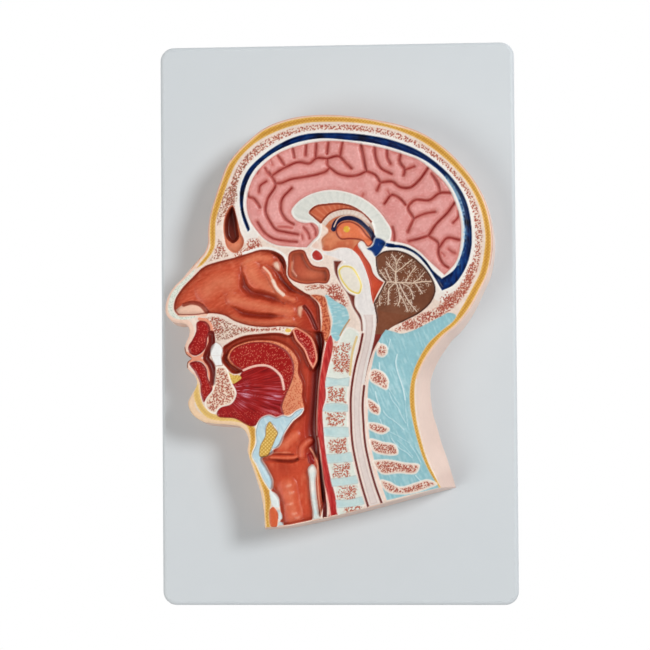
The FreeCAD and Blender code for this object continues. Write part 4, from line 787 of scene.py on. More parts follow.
lower_side = side_run(LOWER_FACE)
upper_side = side_run(UPPER_FACE)
lower_side[0, 2:] = NECK_FOOT[-1]
upper_side[-1, 2:] = NECK_FOOT[0]
neck_side = np.column_stack([np.array(NECK_CUT), np.array(NECK_FOOT)])
side = np.vstack([smooth(run)[:-1] for run in (lower_side, upper_side, neck_side)])
outline = side[:, :2]
nearest = (X.copy(), Y.copy())
head = inside(outline)
edge = near(outline, 6.0, closed=True, spot=nearest) * np.where(head, 1, -1)

# Coordinates along and across the skull, and two unevennesses for all of it
turn, radius = polar(SKULL_CENTRE)
turn *= SKULL_RADIUS
mottle = noise(X, Y, 9, 1) * 0.6 + noise(X, Y, 3, 2) * 0.4
fine = noise(X, Y, 1.1, 3)

# Bone, skin and the marrow in the bone
paint(np.ones(X.shape), BONE)
colour += (mottle * 5 + fine * 3)[..., None]
height += 0.12 * mottle
sinus = depth_in(SINUS_RUNS, BONE_REACH)
gold = depth_in(GOLD_RUNS, BONE_REACH)
across = np.abs(gold) / (np.abs(gold) + np.abs(sinus) + 1e-6)
in_ring = soft(0.24 - np.abs(across - 0.47), 0.12) * (Y > 8)
in_ring *= (gold < 0) * (gold > 0.5 - BONE_REACH) * (sinus < 0) * (sinus > 0.5 - BONE_REACH)
white_table = soft(0.24 - np.abs(across - 0.84), 0.1) * (sinus < 0) * (np.abs(sinus) < 8)
paint(white_table * 0.7 * (Y > 8), BONE_WHITE)
grain(in_ring, MARROW_PALE, 1.1, 13, 0.6, 0.4, -0.2, turn, radius * 0.8)
grain(in_ring, MARROW, 1.1, 11, 0.62, 0.38, -0.35, turn, radius * 0.75)
grain(in_ring * (X < -50), (150, 96, 74), 1.6, 12, 0.5, 0.4, -0.3)
for i, (half, points) in enumerate(SPECKLE_BANDS):
    d = near(smooth(points), half + 1)
    grain(soft(half - d, 1.4), MARROW_PALE, 1.1, 130 + i, 0.6, 0.42, -0.2)
    grain(soft(half - 0.4 - d, 1.2), MARROW, 1.15, 140 + i, 0.7, 0.42, -0.3)
for i, corners in enumerate(SPECKLE_FIELDS):
    d = depth_in(np.array(corners, float))
    grain(soft(d - 0.6, 1.0), (188, 148, 124), 1.0, 150 + i, 0.6, 0.4, -0.15)
    grain(soft(d - 0.8, 1.0), (150, 78, 62), 1.1, 160 + i, 0.55, 0.4, -0.3)
for i, (x, y, half_x, half_y, share) in enumerate(SPECKLE_PATCHES):
    grain(soft(patch(x, y, half_x, half_y) - 0.4), MARROW, 1.35, 20 + i, share, 0.44, -0.3)
paint(soft(1.5 - edge, 0.8) * (Y > -40), SKIN)
paint(soft(4.6 - edge, 0.8) * (Y < -38) * (X < -46), (240, 206, 170))
paint(soft(3.4 - edge, 0.8) * (X < -97) * (Y > -22) * (Y < 42), SKIN)
paint(soft(0.7 - edge) * (Y > 40), SKIN_SHADE)


def fat_band(d):
    """Fat under the skin: a light rim, a fine net and a brown line along the middle."""
    threads = net(2.6)
    paint(soft(d), GOLD)
    paint(soft(d) * unit(threads - 0.4) * 0.9, GOLD_DARK)
    paint(soft(d) * unit(-threads) * 0.7, (242, 206, 128))
    paint(soft(d) * soft(0.45 - d, 0.4) * 0.7, (240, 206, 140))
    paint(soft(d - 1.45, 0.4) * 0.45, GOLD_DARK)
    level(soft(d - 0.2, 0.7), -0.35)
    height[...] += soft(d) * threads * 0.08


fat_band(gold)
chin = depth_in(CHIN_RUNS)
fat_band(chin)
paint(soft(chin) * (Y > -70) * 0.55, (240, 212, 142))

# Venous channel with its white walls
edge_line(sinus + 0.6, 0.9, BONE_WHITE, width=0.6)
height += 0.35 * unit(1 - ((sinus + 0.5) / 0.9) ** 2)
paint(soft(sinus), SINUS)
paint(soft(sinus) * unit(0.45 + noise(turn, radius * 3, 5, 5)) * 0.8, SINUS_DARK)
paint(soft(sinus) * unit(noise(turn, radius * 4, 3, 6) - 0.2), (40, 96, 160))
level(soft(sinus - 0.3, 0.9), -2.6)
height += soft(sinus - 1.0, 1.4) * -0.5
# Painted highlight on the channel's inner wall
sheen_reach = near(smooth(SINUS_SHEEN), 3.5)
paint(soft(1.1 - sheen_reach, 1.2) * unit(0.7 + fine * 0.6 + mottle), (150, 192, 220))
for x, y in SINUS_PATCHES:
    paint(patch(x, y, 3.4, 2.2) * soft(sinus), (12, 14, 40))

# Brain with its furrows
brain = depth_in(BRAIN_RUNS, 5)
furrow = np.full(X.shape, 5.0)
deepest = np.zeros(X.shape)
for strength, points in SULCI:
    d = near(smooth(points), 5)
    closer = d < furrow
    furrow = np.where(closer, d, furrow)
    deepest = np.where(closer, strength, deepest)
to_edge = np.clip(brain, 0, 5)
fold = np.minimum(furrow, to_edge + 0.4)
pillow = np.sqrt(dome(FOLD_RADIUS - np.minimum(fold, FOLD_RADIUS), FOLD_RADIUS))
in_brain = soft(brain, 0.6)
level(in_brain, -0.3 - FURROW_DEPTH * (1 - pillow) * np.where(furrow < to_edge + 0.4, deepest, 0.6))
paint(in_brain, BRAIN)
paint(in_brain * soft(X + 10, 110) * 0.3, (186, 106, 98))
# Painted light: the broad tops of the folds lighter, away from the furrows
paint(in_brain * soft(fold - 2.6, 3) * 0.6, (238, 176, 172))
paint(in_brain * unit(mottle) * 0.4, (210, 112, 108))
# Painted shade: darker red down the sides of the folds and at the brain's edge, more by the deeper
# furrows
paint(in_brain * np.exp(-(fold / 1.7) ** 2) * 0.45 * unit(deepest + 0.3), (196, 88, 76))
uneven = np.clip(0.8 + 0.5 * noise(X, Y, 5, 9), 0.3, 1)
# Painted shade: a darker band close along each furrow
paint(in_brain * np.exp(-(furrow / 0.9) ** 2) * unit(deepest) * 0.5, (196, 84, 74))
paint(in_brain * np.exp(-(furrow / 0.34) ** 2) * unit(deepest) * uneven, BRAIN_FURROW)
# Painted highlight: a light line along each fold's shoulder, just off its furrow
crest = np.exp(-((fold - 1.7) / 0.5) ** 2)
paint(in_brain * crest * 0.35 * unit(0.6 + mottle), (248, 202, 198))
height += in_brain * (0.2 * noise(X, Y, 3.2, 7) + 0.1 * noise(X, Y, 1.7, 8))
# Painted highlight: light flecks on the fold tops
paint(in_brain * unit(fine - 0.3) * soft(fold - 1.6, 2) * 0.25, (250, 220, 216))
edge_line(brain + 0.2, 0.6, BONE_WHITE, 0.7 * (sinus < -0.2), width=0.6)

# Callosum, septum, fornix and the parts round the ventricle
callosum = field(CALLOSUM_RUNS, CALLOSUM, -0.9, 1.2)
hatch = np.sin(polar(VENTRICLE_CENTRE)[0] * 34)
paint(soft(callosum) * unit(hatch) * 0.16, (178, 184, 178))
height += soft(callosum - 0.8, 1) * hatch * 0.05
edge_line(callosum, 0.5, BONE_WHITE, 0.8)
ventricle = field(VENTRICLE_RUNS, VENTRICLE, -2.4, 1.0)
paint(soft(ventricle) * unit(0.4 + mottle * 1.4) * 0.6, (196, 86, 54))
septum = field(SEPTUM_RUNS, SEPTUM, -1.5)
paint(soft(septum) * unit(hatch) * 0.5, (228, 150, 116))
edge_line(septum - 0.5, 0.8, (150, 62, 40), septum > 0, width=0.6)
fornix = field(FORNIX_RUNS, (232, 214, 202), -1.3)
paint(soft(fornix - 0.4) * unit(hatch) * 0.25, (206, 160, 140))
thalamus = field(THALAMUS, THALAMUS_RED, None)
swell(thalamus, 1.5, 3)
paint(soft(thalamus) * unit(mottle) * 0.6, (232, 132, 92))
edge_line(thalamus, 0.5, (126, 34, 24), 0.8)
stroke(CHOROID, 1.8, SINUS_DARK, 0.7)
stroke([(-0.4, 69), (2.6, 74.6), (10, 77.2), (18.2, 74.8), (24.6, 69.2)], 0.45, (226, 190, 170))
spot = polar((8.7, 67))[1]
paint(soft(2.3 - spot), (222, 172, 56))
height += 0.7 * np.sqrt(unit(1 - (spot / 2.3) ** 2))
stroke(LAMINA, 0.8, BONE_WHITE, 0.9)
stroke(HYPOTHALAMUS_RIM, 0.6, (236, 208, 190), 0.9)
paint(patch(-13.4, 55.4, 3, 2.4), (232, 196, 180))
height += patch(-13.4, 55.4, 2.6, 2.2) * 0.9
vein = field(GREAT_VEIN, SINUS, -2.6)
stroke([(33, 56.4), (37, 55.6), (42, 54.8)], 1.3, SINUS, -1.6)
edge_line(vein, 0.5, BONE_WHITE, 0.7)
pituitary = depth_in(PITUITARY)
paint(soft(pituitary + 1.1), BONE_WHITE)
paint(soft(pituitary), (176, 44, 36))
height -= 0.5 * (pituitary > 0)
swell(pituitary, 0.8, 2)

# Aqueduct, tectum and brainstem
aqueduct = field(AQUEDUCT_RUNS, (206, 74, 46), -2.0)
paint(soft(aqueduct) * unit(mottle) * 0.5, (230, 120, 80))
field(TECTUM, (238, 232, 226), -0.6)
stem = field(BRAINSTEM_RUNS, (236, 230, 226), -0.8, 1.1)
streaks = noise(X * 4 + Y * 0.6, Y, 5, 31)
paint(soft(stem) * unit(streaks) * 0.25, (196, 190, 188))
pons = depth_in(PONS)
paint(soft(pons + 0.9), (244, 236, 226))
paint(soft(pons), (232, 206, 92))
paint(soft(pons - 1.1, 0.9), (234, 226, 212))
swell(pons, 0.9, 3)
basilar = field(BASILAR_RUNS, (128, 46, 34), -2.0)
paint(soft(basilar) * unit(noise(X * 2, Y, 3, 32)) * 0.6, (176, 84, 60))
edge_line(basilar, 0.45, (238, 226, 216), 0.8)

# Cerebellum: brown, with the white tree raised in it
cerebellum = field(CEREBELLUM_RUNS, CEREBELLUM_BROWN, -1.5, 1.0)
cistern_low = Y < line_at(CISTERN_EDGE)
in_leaves = soft(cerebellum) * (1 - cistern_low)
tree = np.full(X.shape, 9.0)
for half, points in ARBOR:
    line = smooth(points)
    tree = np.minimum(tree, near(line, 8) / half / 0.26)
    for i in range(2, len(line) - 1, 2):
        ahead = line[i + 1] - line[i - 1]
        ahead = ahead / np.hypot(*ahead)
        hand = -1 if i % 4 else 1
        lean = 0.9 + 0.35 * math.sin(i * 2.3 + half * 40)
        sprig = np.array([ahead[0] * lean - hand * ahead[1], ahead[1] * lean + hand * ahead[0]])
        reach = 2.3 + 0.9 * math.sin(i * 1.7 + half * 9)
        elbow = line[i] + sprig * reach * 0.5
        for bend in (-0.5, 0.6):
            tip = elbow + (sprig + bend * np.array([-sprig[1], sprig[0]])) * reach * 0.5
            twig = np.vstack([line[i], elbow, tip])
            tree = np.minimum(tree, 0.5 + near(twig, 3) / 0.12)
paint(in_leaves * unit(0.5 + mottle) * 0.5, (140, 88, 62))
paint(in_leaves * unit(1.9 - tree), (222, 198, 176))
height += in_leaves * unit(1.5 - tree) * 0.9
paint(soft(cerebellum) * cistern_low * 0.7, (134, 76, 50))
paint(soft(cerebellum) * (Y < -8) * 0.8, (134, 36, 30))
edge_line(cerebellum - 0.4, 0.6, (80, 42, 30), (cerebellum > 0) * (Y > 0))

# Frontal and sphenoid sinus
frontal = field(FRONTAL_SINUS, (214, 118, 84), -2.6, 1.4)
paint(soft(frontal) * unit(mottle) * 0.6, (234, 164, 130))
hollow = field(FRONTAL_HOLLOW, (132, 44, 28), -7.4, 2.6)
paint(soft(hollow, 0.8) * patch(-74, 74, 3, 8) * 0.6, (86, 24, 16))
sphenoid = field(SPHENOID, (206, 104, 74), -5.4, 3.4, 4)
paint(soft(sphenoid) * soft(sphenoid - 2.6, 2) * 0.4, (158, 54, 34))
# Painted highlight along the left side of the sphenoid hollow
stroke([(-30.6, 44), (-30.6, 38), (-28, 34)], 0.7, (240, 184, 156), 0.9, strength=0.6)
paint(soft(sphenoid) * patch(-16, 35, 9, 4) * 0.6, (222, 128, 92))
edge_line(sphenoid, 0.5, (150, 62, 46))

# Nose: cartilage, cavity, turbinates and the passages under them
cartilage = field(NOSE_CARTILAGE, CARTILAGE, -0.3)
grain(soft(cartilage), (196, 204, 190), 1.0, 41, 0.6, 0.4)
nasal = field(NASAL_RUNS, NASAL, -4.0, 1.5)
in_nose = soft(nasal)
brush = noise(X * 0.5 + Y * 0.3, Y * 1.6 - X * 0.7, 1.6, 42)
paint(in_nose * unit(brush) * 0.6, (234, 138, 104))
paint(in_nose * unit(-brush) * 0.4, (180, 62, 38))
# Turbinates: raised ridges, each with a painted highlight along its crest
for rise, half, points in TURBINATES:
    ridge(points, half, rise, in_nose, (238, 148, 110), 0.75)
# Passages under the turbinates: painted shade in each groove, and a softer painted shadow beside
# it, down and to the left
for half, drop, points in MEATUS:
    line = smooth(points)
    ends = away_from(points[0], 14, 0.25) * away_from(points[-1], 9, 0.3)
    shade = near(line + (-1.2, -1.6), 5) / ends
    paint(np.exp(-((shade / 3.4) ** 2)) * in_nose * 0.4, (168, 52, 30))
    d = near(line, half + 1) / ends
    crease(d, half, drop * 1.9, in_nose * ends, NASAL_SHADE, 0.72, 0.8)
paint(in_nose * soft(X + 25, 8) * 0.5, (158, 36, 20))
bulge = field(NOSTRIL_BULGE, (240, 196, 172), None)
swell(bulge, 2.0, 3)
stroke(NOSTRIL_SHADOW, 1.5, (150, 48, 30), -1.2, strength=0.7)
# Painted highlight by the recess at the top of the cavity, on a small swelling
highlight_spot = depth_in(NASAL_HIGHLIGHT)
paint(soft(highlight_spot - 0.2, 2.4) * 0.85, (240, 214, 194))
swell(highlight_spot, 1.4, 2)
# Painted highlight along the upper turbinate's raised ridge, widening towards its lower end
stroke([(-51.2, 40.6), (-47.2, 36.6), (-44.4, 30.6), (-41.4, 24.6), (-37, 20.6)], 0.7,
       (246, 200, 174), 0.6, strength=0.9)
stroke([(-44.4, 30.6), (-41.4, 24.6), (-37, 20.6)], 1.3, (252, 222, 204), 0.7, strength=0.9)
edge_line(nasal - 0.3, 0.5, (122, 40, 26), 0.7)
edge_line(nasal + 1.2, 0.9, BONE_WHITE, (X > -66) * (X < -34) * (Y > 30), width=0.7)

# Bone wedge and the grainy strip behind the nose
wedge = field(CLIVUS_WEDGE, PALE_BLUE, -0.5)
paint(soft(wedge) * unit(noise(X, Y * 4, 3, 51)) * 0.6, (220, 232, 232))
granular = field(GRANULAR, (216, 124, 84), -0.7)
grain(soft(granular), (176, 70, 44), 1.2, 52, 0.7, 0.5, -0.15)
edge_line(granular, 0.4, (240, 210, 188), 0.8)

# Pale muscle and soft tissue behind the spine
nape = field(NAPE_RUNS, PALE_BLUE, -0.7)
in_nape = soft(nape)
fibres = noise(X * 3.2 + Y * 1.3, Y * 0.7 - X * 0.3, 3.4, 61)
paint(in_nape * unit(fibres) * 0.45, (206, 230, 234))
paint(in_nape * unit(-fibres) * 0.3, (132, 188, 204))
height += in_nape * fibres * 0.12
# Raised light streaks in the muscle, each with a darker copy shifted down and to the left as a
# painted shadow
for half, points in STREAKS:
    stroke(np.array(points) + (-0.8, -0.4), half + 0.1, (122, 178, 192), strength=0.45)
    stroke(points, half, (222, 238, 240), 0.5, strength=0.85)

# Lips and the gap behind them
for shape, rim, seed in ((UPPER_LIP, UPPER_LIP_RIM, 71), (LOWER_LIP, LOWER_LIP_RIM, 72)):
    lip = field(shape, MUSCLE, -0.9, 1.2)
    grain(soft(lip - 0.5), (214, 96, 84), 0.95, seed, 0.4, 0.32, 0.12)
    paint(soft(lip) * soft(1.2 - lip, 0.8) * 0.5, (120, 16, 18))
    stroke(rim, 1.1, MUCOSA, 0.6)
for half, points in LIP_LINES:
    stroke(points, half, (110, 60, 44))
half, drop, points = VESTIBULE
stroke(points, half, (128, 26, 20), -drop * 2.4, strength=0.9)

# Throat, mouth cavity and windpipe
airway = field(AIRWAY_RUNS, AIRWAY, -5.0, 1.6)
in_airway = soft(airway)
flow = noise(X * 1.4, Y * 0.5, 2.2, 81)
paint(in_airway * unit(flow) * 0.6, (226, 120, 86))
paint(in_airway * (Y > -40) * (X < -26) * 0.4, (176, 54, 34))
paint(in_airway * soft(-12 - Y, 10) * soft(X + 26, 6) * (Y > -96) * 0.45, (160, 34, 20))
# Painted shade along the airway's edge, where its walls drop in
paint(in_airway * np.exp(-((airway / 1.5) ** 2)) * 0.5, (140, 40, 26))
# The throat's deep groove, darkened with painted shade
half, drop, points = PHARYNX
crease(near(smooth(points), half + 2), half, drop, in_airway, AIRWAY_SHADE, 0.62, 0.95)
# Ridges of the voice box, their crests painted lighter as highlights
for half, rise, points in VOCAL_RIDGES:
    ridge(points, half, rise, in_airway, (232, 130, 96), 0.7)
# Creases of the voice box, darkened with painted shade
for half, drop, points in VOCAL_CREASES:
    mask = in_airway * away_from(points[0], 8, 0.35)
    crease(near(smooth(points), half + 1), half, drop * 1.6, mask, (128, 30, 18), 0.7, 0.75)
# Painted highlight along the fold above the upper crease
stroke([(-46, -92.5), (-40, -92.2), (-33, -92.4)], 0.5, (236, 156, 126), 0.3, strength=0.5)
# Painted shade: a soft dark patch below the folds
paint(patch(-38, -103, 7, 5) * in_airway * 0.45, (156, 46, 28))
# Painted highlights on small bumps down the windpipe's wall
for x, y in ((-34, -116), (-32, -121), (-33, -129), (-30, -136), (-28, -139)):
    height += 0.7 * patch(x, y, 1.6, 1.3)
    paint(patch(x, y, 1.5, 1.1) * 0.6, (246, 176, 150))
field(ARYTENOID, (150, 30, 28), -4.2)
lamina = field(CRICOID_BACK, (232, 230, 222), -1.2, 1.4)
paint(soft(lamina - 1, 0.8) * unit(mottle + 0.3) * 0.5, PALE_BLUE)
stroke([(-18.6, -124.6), (-16.4, -125.4), (-14.4, -126)], 0.1, (190, 180, 170), -0.3, strength=0.6)
stroke([(-18.8, -89.4), (-15.8, -94.6), (-13.8, -100), (-13.6, -112), (-12.9, -124), (-11.4, -136)],
       0.7, MUCOSA, 1.2)
stroke(GULLET, 1.5, (104, 18, 16), -2.2)

# Soft palate, the ridge behind the nose and the yellow spot in the bone
palate = field(PALATE_RUNS, MUCOSA, -2.2, 1.4)
red_part = np.maximum(depth_in(PALATE_MUSCLE), np.where(X > -31, palate - 1.2, -9))
paint(soft(red_part), MUSCLE)
grain(soft(red_part), (226, 130, 112), 1.0, 82, 0.4, 0.36, 0.12)
swell(palate, 0.9, 3)
torus = depth_in(TORUS)
# Painted highlight on the raised torus by the tube's opening
paint(soft(torus - 0.2, 1.8) * 0.8, (240, 196, 168))
swell(torus, 1.6, 2)
stroke(TORUS_GROOVE, 1.4, (128, 30, 22), -1.6, strength=0.9)
bone_floor = np.hypot(X - PALATE_SPOT[0], (Y - PALATE_SPOT[1]) * 1.6)
paint(soft(PALATE_SPOT[2] - bone_floor, 0.6), (232, 190, 96))

# Tongue, the fat under it, jaw and teeth
tongue = field(TONGUE_RUNS, (226, 144, 106), -0.5, 1.4)
grain(soft(tongue), (206, 98, 66), 1.1, 91, 0.6, 0.4, -0.12)
tongue_core = field(TONGUE_MUSCLE, (160, 16, 14), -0.9)
in_core = soft(tongue_core)
around, away = polar(TONGUE_CENTRE)
below_line = soft(line_at(TONGUE_LINE) - Y, 2) * (X < -37.4)
fan_turn, fan_away = polar(TONGUE_ROOT)
fan = noise(fan_turn * 64, fan_away * 0.12, 0.9, 92)
paint(in_core * below_line * unit(fan) * 0.45, (206, 84, 84))
paint(in_core * below_line * unit(-fan) * 0.6, (96, 4, 16))
grain(in_core * (1 - below_line), (224, 128, 104), 0.95, 93, 0.42, 0.27, 0.1,
      around * 40, away * 0.5)
grain(in_core * (Y < -62), (204, 84, 72), 0.95, 99, 0.3, 0.3, 0.1)
for x, y, half_x, half_y in TONGUE_FANS:
    in_fan = in_core * patch(x, y, half_x, half_y)
    paint(in_fan * 0.45 * unit(0.6 + fan), (176, 84, 118))
    paint(in_fan * unit(fan * 1.6 - 0.2) * 0.8, (228, 186, 204))
stroke(TONGUE_LINE, 0.8, (244, 196, 180), 0.8)
edge_line(tongue_core, 0.5, (126, 20, 20), 0.7)
fat = field(FAT_UNDER_TONGUE, FAT, -0.7)
grain(soft(fat), (206, 150, 60), 1.0, 94, 0.5, 0.4)
mandible = field(MANDIBLE, (238, 216, 196), 0.0)
grain(soft(mandible - 1.2, 1.0), MARROW_PALE, 1.1, 74, 0.6, 0.42, -0.2)
grain(soft(mandible - 1.2, 1.0), MARROW, 1.2, 73, 0.66, 0.42, -0.3)
edge_line(mandible, 0.4, (250, 240, 230), 0.9)
teeth = field(TOOTH_RUNS, TOOTH, None)
swell(teeth, 1.0, 2.4)
stroke([(-89.4, -22.2), (-85, -22.6), (-81.6, -22.4)], 0.2, (224, 214, 208), -0.4, strength=0.7)
edge_line(teeth, 0.3, (150, 96, 76), 0.5, width=0.4)

# Cartilages at the front of the neck
hyoid = field(HYOID, (186, 214, 224), -0.6)
paint(soft(hyoid) * unit(fibres) * 0.6, (226, 236, 238))
edge_line(hyoid - 0.2, 0.35, (120, 130, 140), 0.5, width=0.4)
edge_line(hyoid + 0.4, 0.4, (246, 244, 238), 0.7)
fat_body = field(FAT_BODY, FAT, -0.6)
threads = net(2.4)
paint(soft(fat_body) * unit(threads - 0.3) * 1.2, (196, 138, 50))
paint(soft(fat_body) * unit(-threads) * 0.8, (246, 224, 160))
edge_line(fat_body, 0.3, (150, 110, 60), 0.7, width=0.4)
bead = field(CRICOID_BEAD, (226, 234, 232), None)
swell(bead, 1.0, 2.4)
for ring in TRACHEA_RINGS:
    field(ring, (216, 230, 230), -1.6)
bulb = field(GLAND_BULB, GLAND, None)
swell(bulb, 0.8, 2)

# Front muscle, spine with its discs, and cord
front = field(FRONT_MUSCLE, (188, 40, 40), -0.9)
fibre = noise(X * 3 + Y * 0.5, Y * 0.35, 1.6, 95)
paint(soft(front) * unit(fibre) * 0.6, (222, 110, 96))
paint(soft(front) * unit(-fibre) * 0.5, (140, 20, 24))
# Painted highlights down the back wall of the throat, on slight ridges
for half, points in THROAT_HIGHLIGHTS:
    stroke(points, half, (240, 186, 170), 0.6)
spine = field(SPINE, (226, 230, 220), -0.2)
paint(soft(spine) * soft(1.2 - spine, 0.6) * 0.8, (244, 236, 228))
for i, (x, y, half_x, half_y) in enumerate(VERTEBRAE):
    body = np.maximum(np.abs(X - x - (y - Y) * 0.06) / half_x, np.abs(Y - y) / half_y)
    body += 0.22 * noise(X, Y, 2.2, 180 + i)
    grain(soft(1.0 - body, 0.3), MARROW_PALE, 1.1, 170 + i, 0.6, 0.44, -0.2)
    grain(soft(1.0 - body, 0.3), (182, 84, 62), 1.15, 100 + i, 0.66, 0.44, -0.3)
for corners in DISCS:
    disc = field(np.array(corners, float), DISC, -0.8)
    paint(soft(disc) * soft(disc - 0.8, 0.8) * unit(0.5 + mottle) * 0.3, PALE_BLUE)
    edge_line(disc, 0.35, (176, 190, 190), 0.5, width=0.4)
stroke(LIGAMENT, 0.8, (226, 196, 140), 0.3)
stroke([(10.4, 2.4), (6.4, -3.4), (3.4, -9)], 0.5, (196, 150, 104), 0.3)
cord = depth_in(BRAINSTEM_RUNS)
low_cord = soft(cord) * (Y < 6)
paint(low_cord, (234, 224, 218))
paint(low_cord * soft(0.35 - np.abs(cord - 2.6), 0.6) * 0.6, (206, 176, 170))
paint(low_cord * soft(0.35 - np.abs(cord - 0.9)) * 0.5, (252, 248, 244))
paint(low_cord * unit(noise(X * 3 + Y * 0.7, Y * 0.25, 2.2, 96)) * 0.2, (204, 188, 184))
for points in CORD_LINES:
    stroke(points, 1.9, (240, 222, 212), 0.2)
    stroke(points, 0.75, CORD_DARK, -1.4)
stroke(DURA_BACK, 0.8, (240, 214, 200), 0.6)

# Spinous processes
for i, points in enumerate(SPINES):
    spinous = field(points, BONE, 0.0)
    edge_line(spinous, 0.5, (244, 240, 232), (spinous > -0.4) * 0.6, width=0.6)
    grain(soft(spinous - 1.2, 0.8), MARROW_PALE, 1.05, 120 + i, 0.6, 0.42, -0.2)
    grain(soft(spinous - 1.4, 0.8), MARROW, 1.1, 110 + i, 0.78, 0.44, -0.3)

# Rounded rim, painted shade in the hollows with painted light on raised parts, and hand-painted
# unevenness
height -= EDGE_DROP * unit(1 - edge / EDGE_RADIUS) ** 2
height = np.clip(height, LOWEST, HIGHEST)


def blurred(grid, size):
    """The grid with every value spread over its neighbours."""
    spread = np.exp(-0.5 * (np.arange(-3 * size, 3 * size + 1) / size) ** 2)
    spread /= spread.sum()
    wide = np.pad(grid, 3 * size, mode="edge")
    wide = sum(w * wide[:, i:i + grid.shape[1]] for i, w in enumerate(spread))
    return sum(w * wide[i:i + grid.shape[0], :] for i, w in enumerate(spread))


height = blurred(height, 1)
hollowness = np.clip(blurred(height, 6) - height, -1.5, 3)
# Painted shade in the hollows and painted light on raised parts, by how far each point lies below
# or above its surroundings
colour *= (1 - 0.09 * np.clip(hollowness, 0, 3) + 0.03 * np.clip(-hollowness, 0, 1.5))[..., None]
colour += (fine * 4 + noise(X, Y, 20, 97) * 4)[..., None]
colour = np.clip(colour, 0, 255)


# Meshes of the cut face, in bands, and of the wall round it
def linear(tone):
    """A tone of 0 to 255 as the linear values that Blender reckons with."""
    c = np.asarray(tone, float) / 255
    return np.where(c <= 0.04045, c / 12.92, ((c + 0.055) / 1.055) ** 2.4)


def add_mesh(name, points, faces, tones, uv):
    """A painted piece of the relief, which stands for the solid head_relief."""
    mesh = bpy.data.meshes.new(name)
    mesh.from_pydata(points.tolist(), [], faces.tolist())
    layer = mesh.color_attributes.new("paint", "FLOAT_COLOR", "POINT")
    rgba = np.column_stack([linear(tones), np.ones(len(tones))])
    layer.data.foreach_set("color", rgba.astype(np.float32).ravel())
    corner = np.zeros(len(mesh.loops), np.int32)
    mesh.loops.foreach_get("vertex_index", corner)
    plan = mesh.uv_layers.new(name="plan")
    plan.data.foreach_set("uv", uv[corner].astype(np.float32).ravel())
    mesh.polygons.foreach_set("use_smooth", np.ones(len(mesh.polygons), bool))
    mesh.update()
    thing = bpy.data.objects.new(name, mesh)
    bpy.context.scene.collection.objects.link(thing)
    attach(thing, "root")
    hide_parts("head_relief")
    return thing


rise_y, rise_x = np.gradient(height, STEP)
normals = np.dstack([-rise_x, -rise_y, np.ones(X.shape)])
normals /= np.linalg.norm(normals, axis=2)[..., None]
place_x = np.where(head, X, nearest[0])
place_y = np.where(head, Y, nearest[1])
corners = [head[:-1, :-1], head[:-1, 1:], head[1:, 1:], head[1:, :-1]]
kept = corners[0] | corners[1] | corners[2] | corners[3]
number = np.arange(X.size).reshape(X.shape)
relief = []
for i, name in enumerate(BAND_NAMES):
    rows = (YS[:-1] >= BANDS[i]) & (YS[:-1] < BANDS[i + 1])
    r, c = np.nonzero(kept & rows[:, None])
    quads = np.column_stack([number[r, c], number[r, c + 1],
                             number[r + 1, c + 1], number[r + 1, c]])
    used, quads = np.unique(quads, return_inverse=True)
    quads = quads.reshape(-1, 4)
    px, py = place_x.ravel()[used], place_y.ravel()[used]
    points = np.column_stack([px, py, CUT_FACE + height.ravel()[used]]) * MM
    uv = (np.column_stack([px, py]) - PLAN_LOW) / PLAN_SIZE
    thing = add_mesh(name, points, quads, colour.reshape(-1, 3)[used], uv)
    thing.data.normals_split_custom_set_from_vertices(normals.reshape(-1, 3)[used].tolist())
    relief.append(thing)

# The wall's rings: how high over the board each lies, up to its top, and a last one just inside
WALL_TOP = CUT_FACE - EDGE_DROP
WALL_LIFTS = [-0.1, 0.4, 3, 7, 12, 17, 22, 27, 31, 34, WALL_TOP - BOARD_FACE]
INSET, INSET_DROP = 0.8, 0.1
rim, foot = outline, side[:, 2:]
along = np.concatenate([[0], np.cumsum(np.hypot(*np.diff(rim, axis=0).T))])
along /= along[-1]
rings = []
ring_uv = []
n = len(side)
for lift in WALL_LIFTS:
    share = lift / (CUT_FACE - BOARD_FACE)
    ring = foot + (rim - foot) * share
    rings.append(np.column_stack([ring, np.full(n, BOARD_FACE + lift)]))
    ring_uv.append(np.column_stack([along, np.full(n, share)]))
inward = (rim - foot) / np.maximum(np.hypot(*(rim - foot).T), 0.3)[:, None]
rings.append(np.column_stack([rim + inward * INSET, np.full(n, WALL_TOP - INSET_DROP)]))
ring_uv.append(np.column_stack([along, np.ones(n)]))
wall = np.vstack(rings)
this = np.arange(n)
ahead = (this + 1) % n
band = np.column_stack([ahead, this, n + this, n + ahead])
quads = np.vstack([band + k * n for k in range(len(rings) - 1)])
# Painted light: the wall lighter towards the nape, the side that faces the key light
lit_nape_share = soft(wall[:, 0] - 30, 60)[:, None]
tones = np.array(SKIN) * (1 - lit_nape_share) + np.array((246, 218, 204)) * lit_nape_share
low_cut = soft(-132 - wall[:, 1] + np.clip(wall[:, 0] + 15, 0, 100) * 0.26, 6)[:, None]
tones = tones * (1 - low_cut * 0.25) + np.array((214, 178, 164)) * low_cut * 0.25
tones += noise(wall[:, 0] + wall[:, 2], wall[:, 1], 14, 98)[:, None] * 5
wall_mesh = add_mesh("relief_wall", wall * MM, quads, np.clip(tones, 0, 255), np.vstack(ring_uv))


# Materials
def plain_nodes(name):
    """A new material, with its nodes, its links and its shader."""
    made = bpy.data.materials.new(name)
    made.use_nodes = True
    inner = made.node_tree
    return made, inner.nodes, inner.links, inner.nodes["Principled BSDF"]


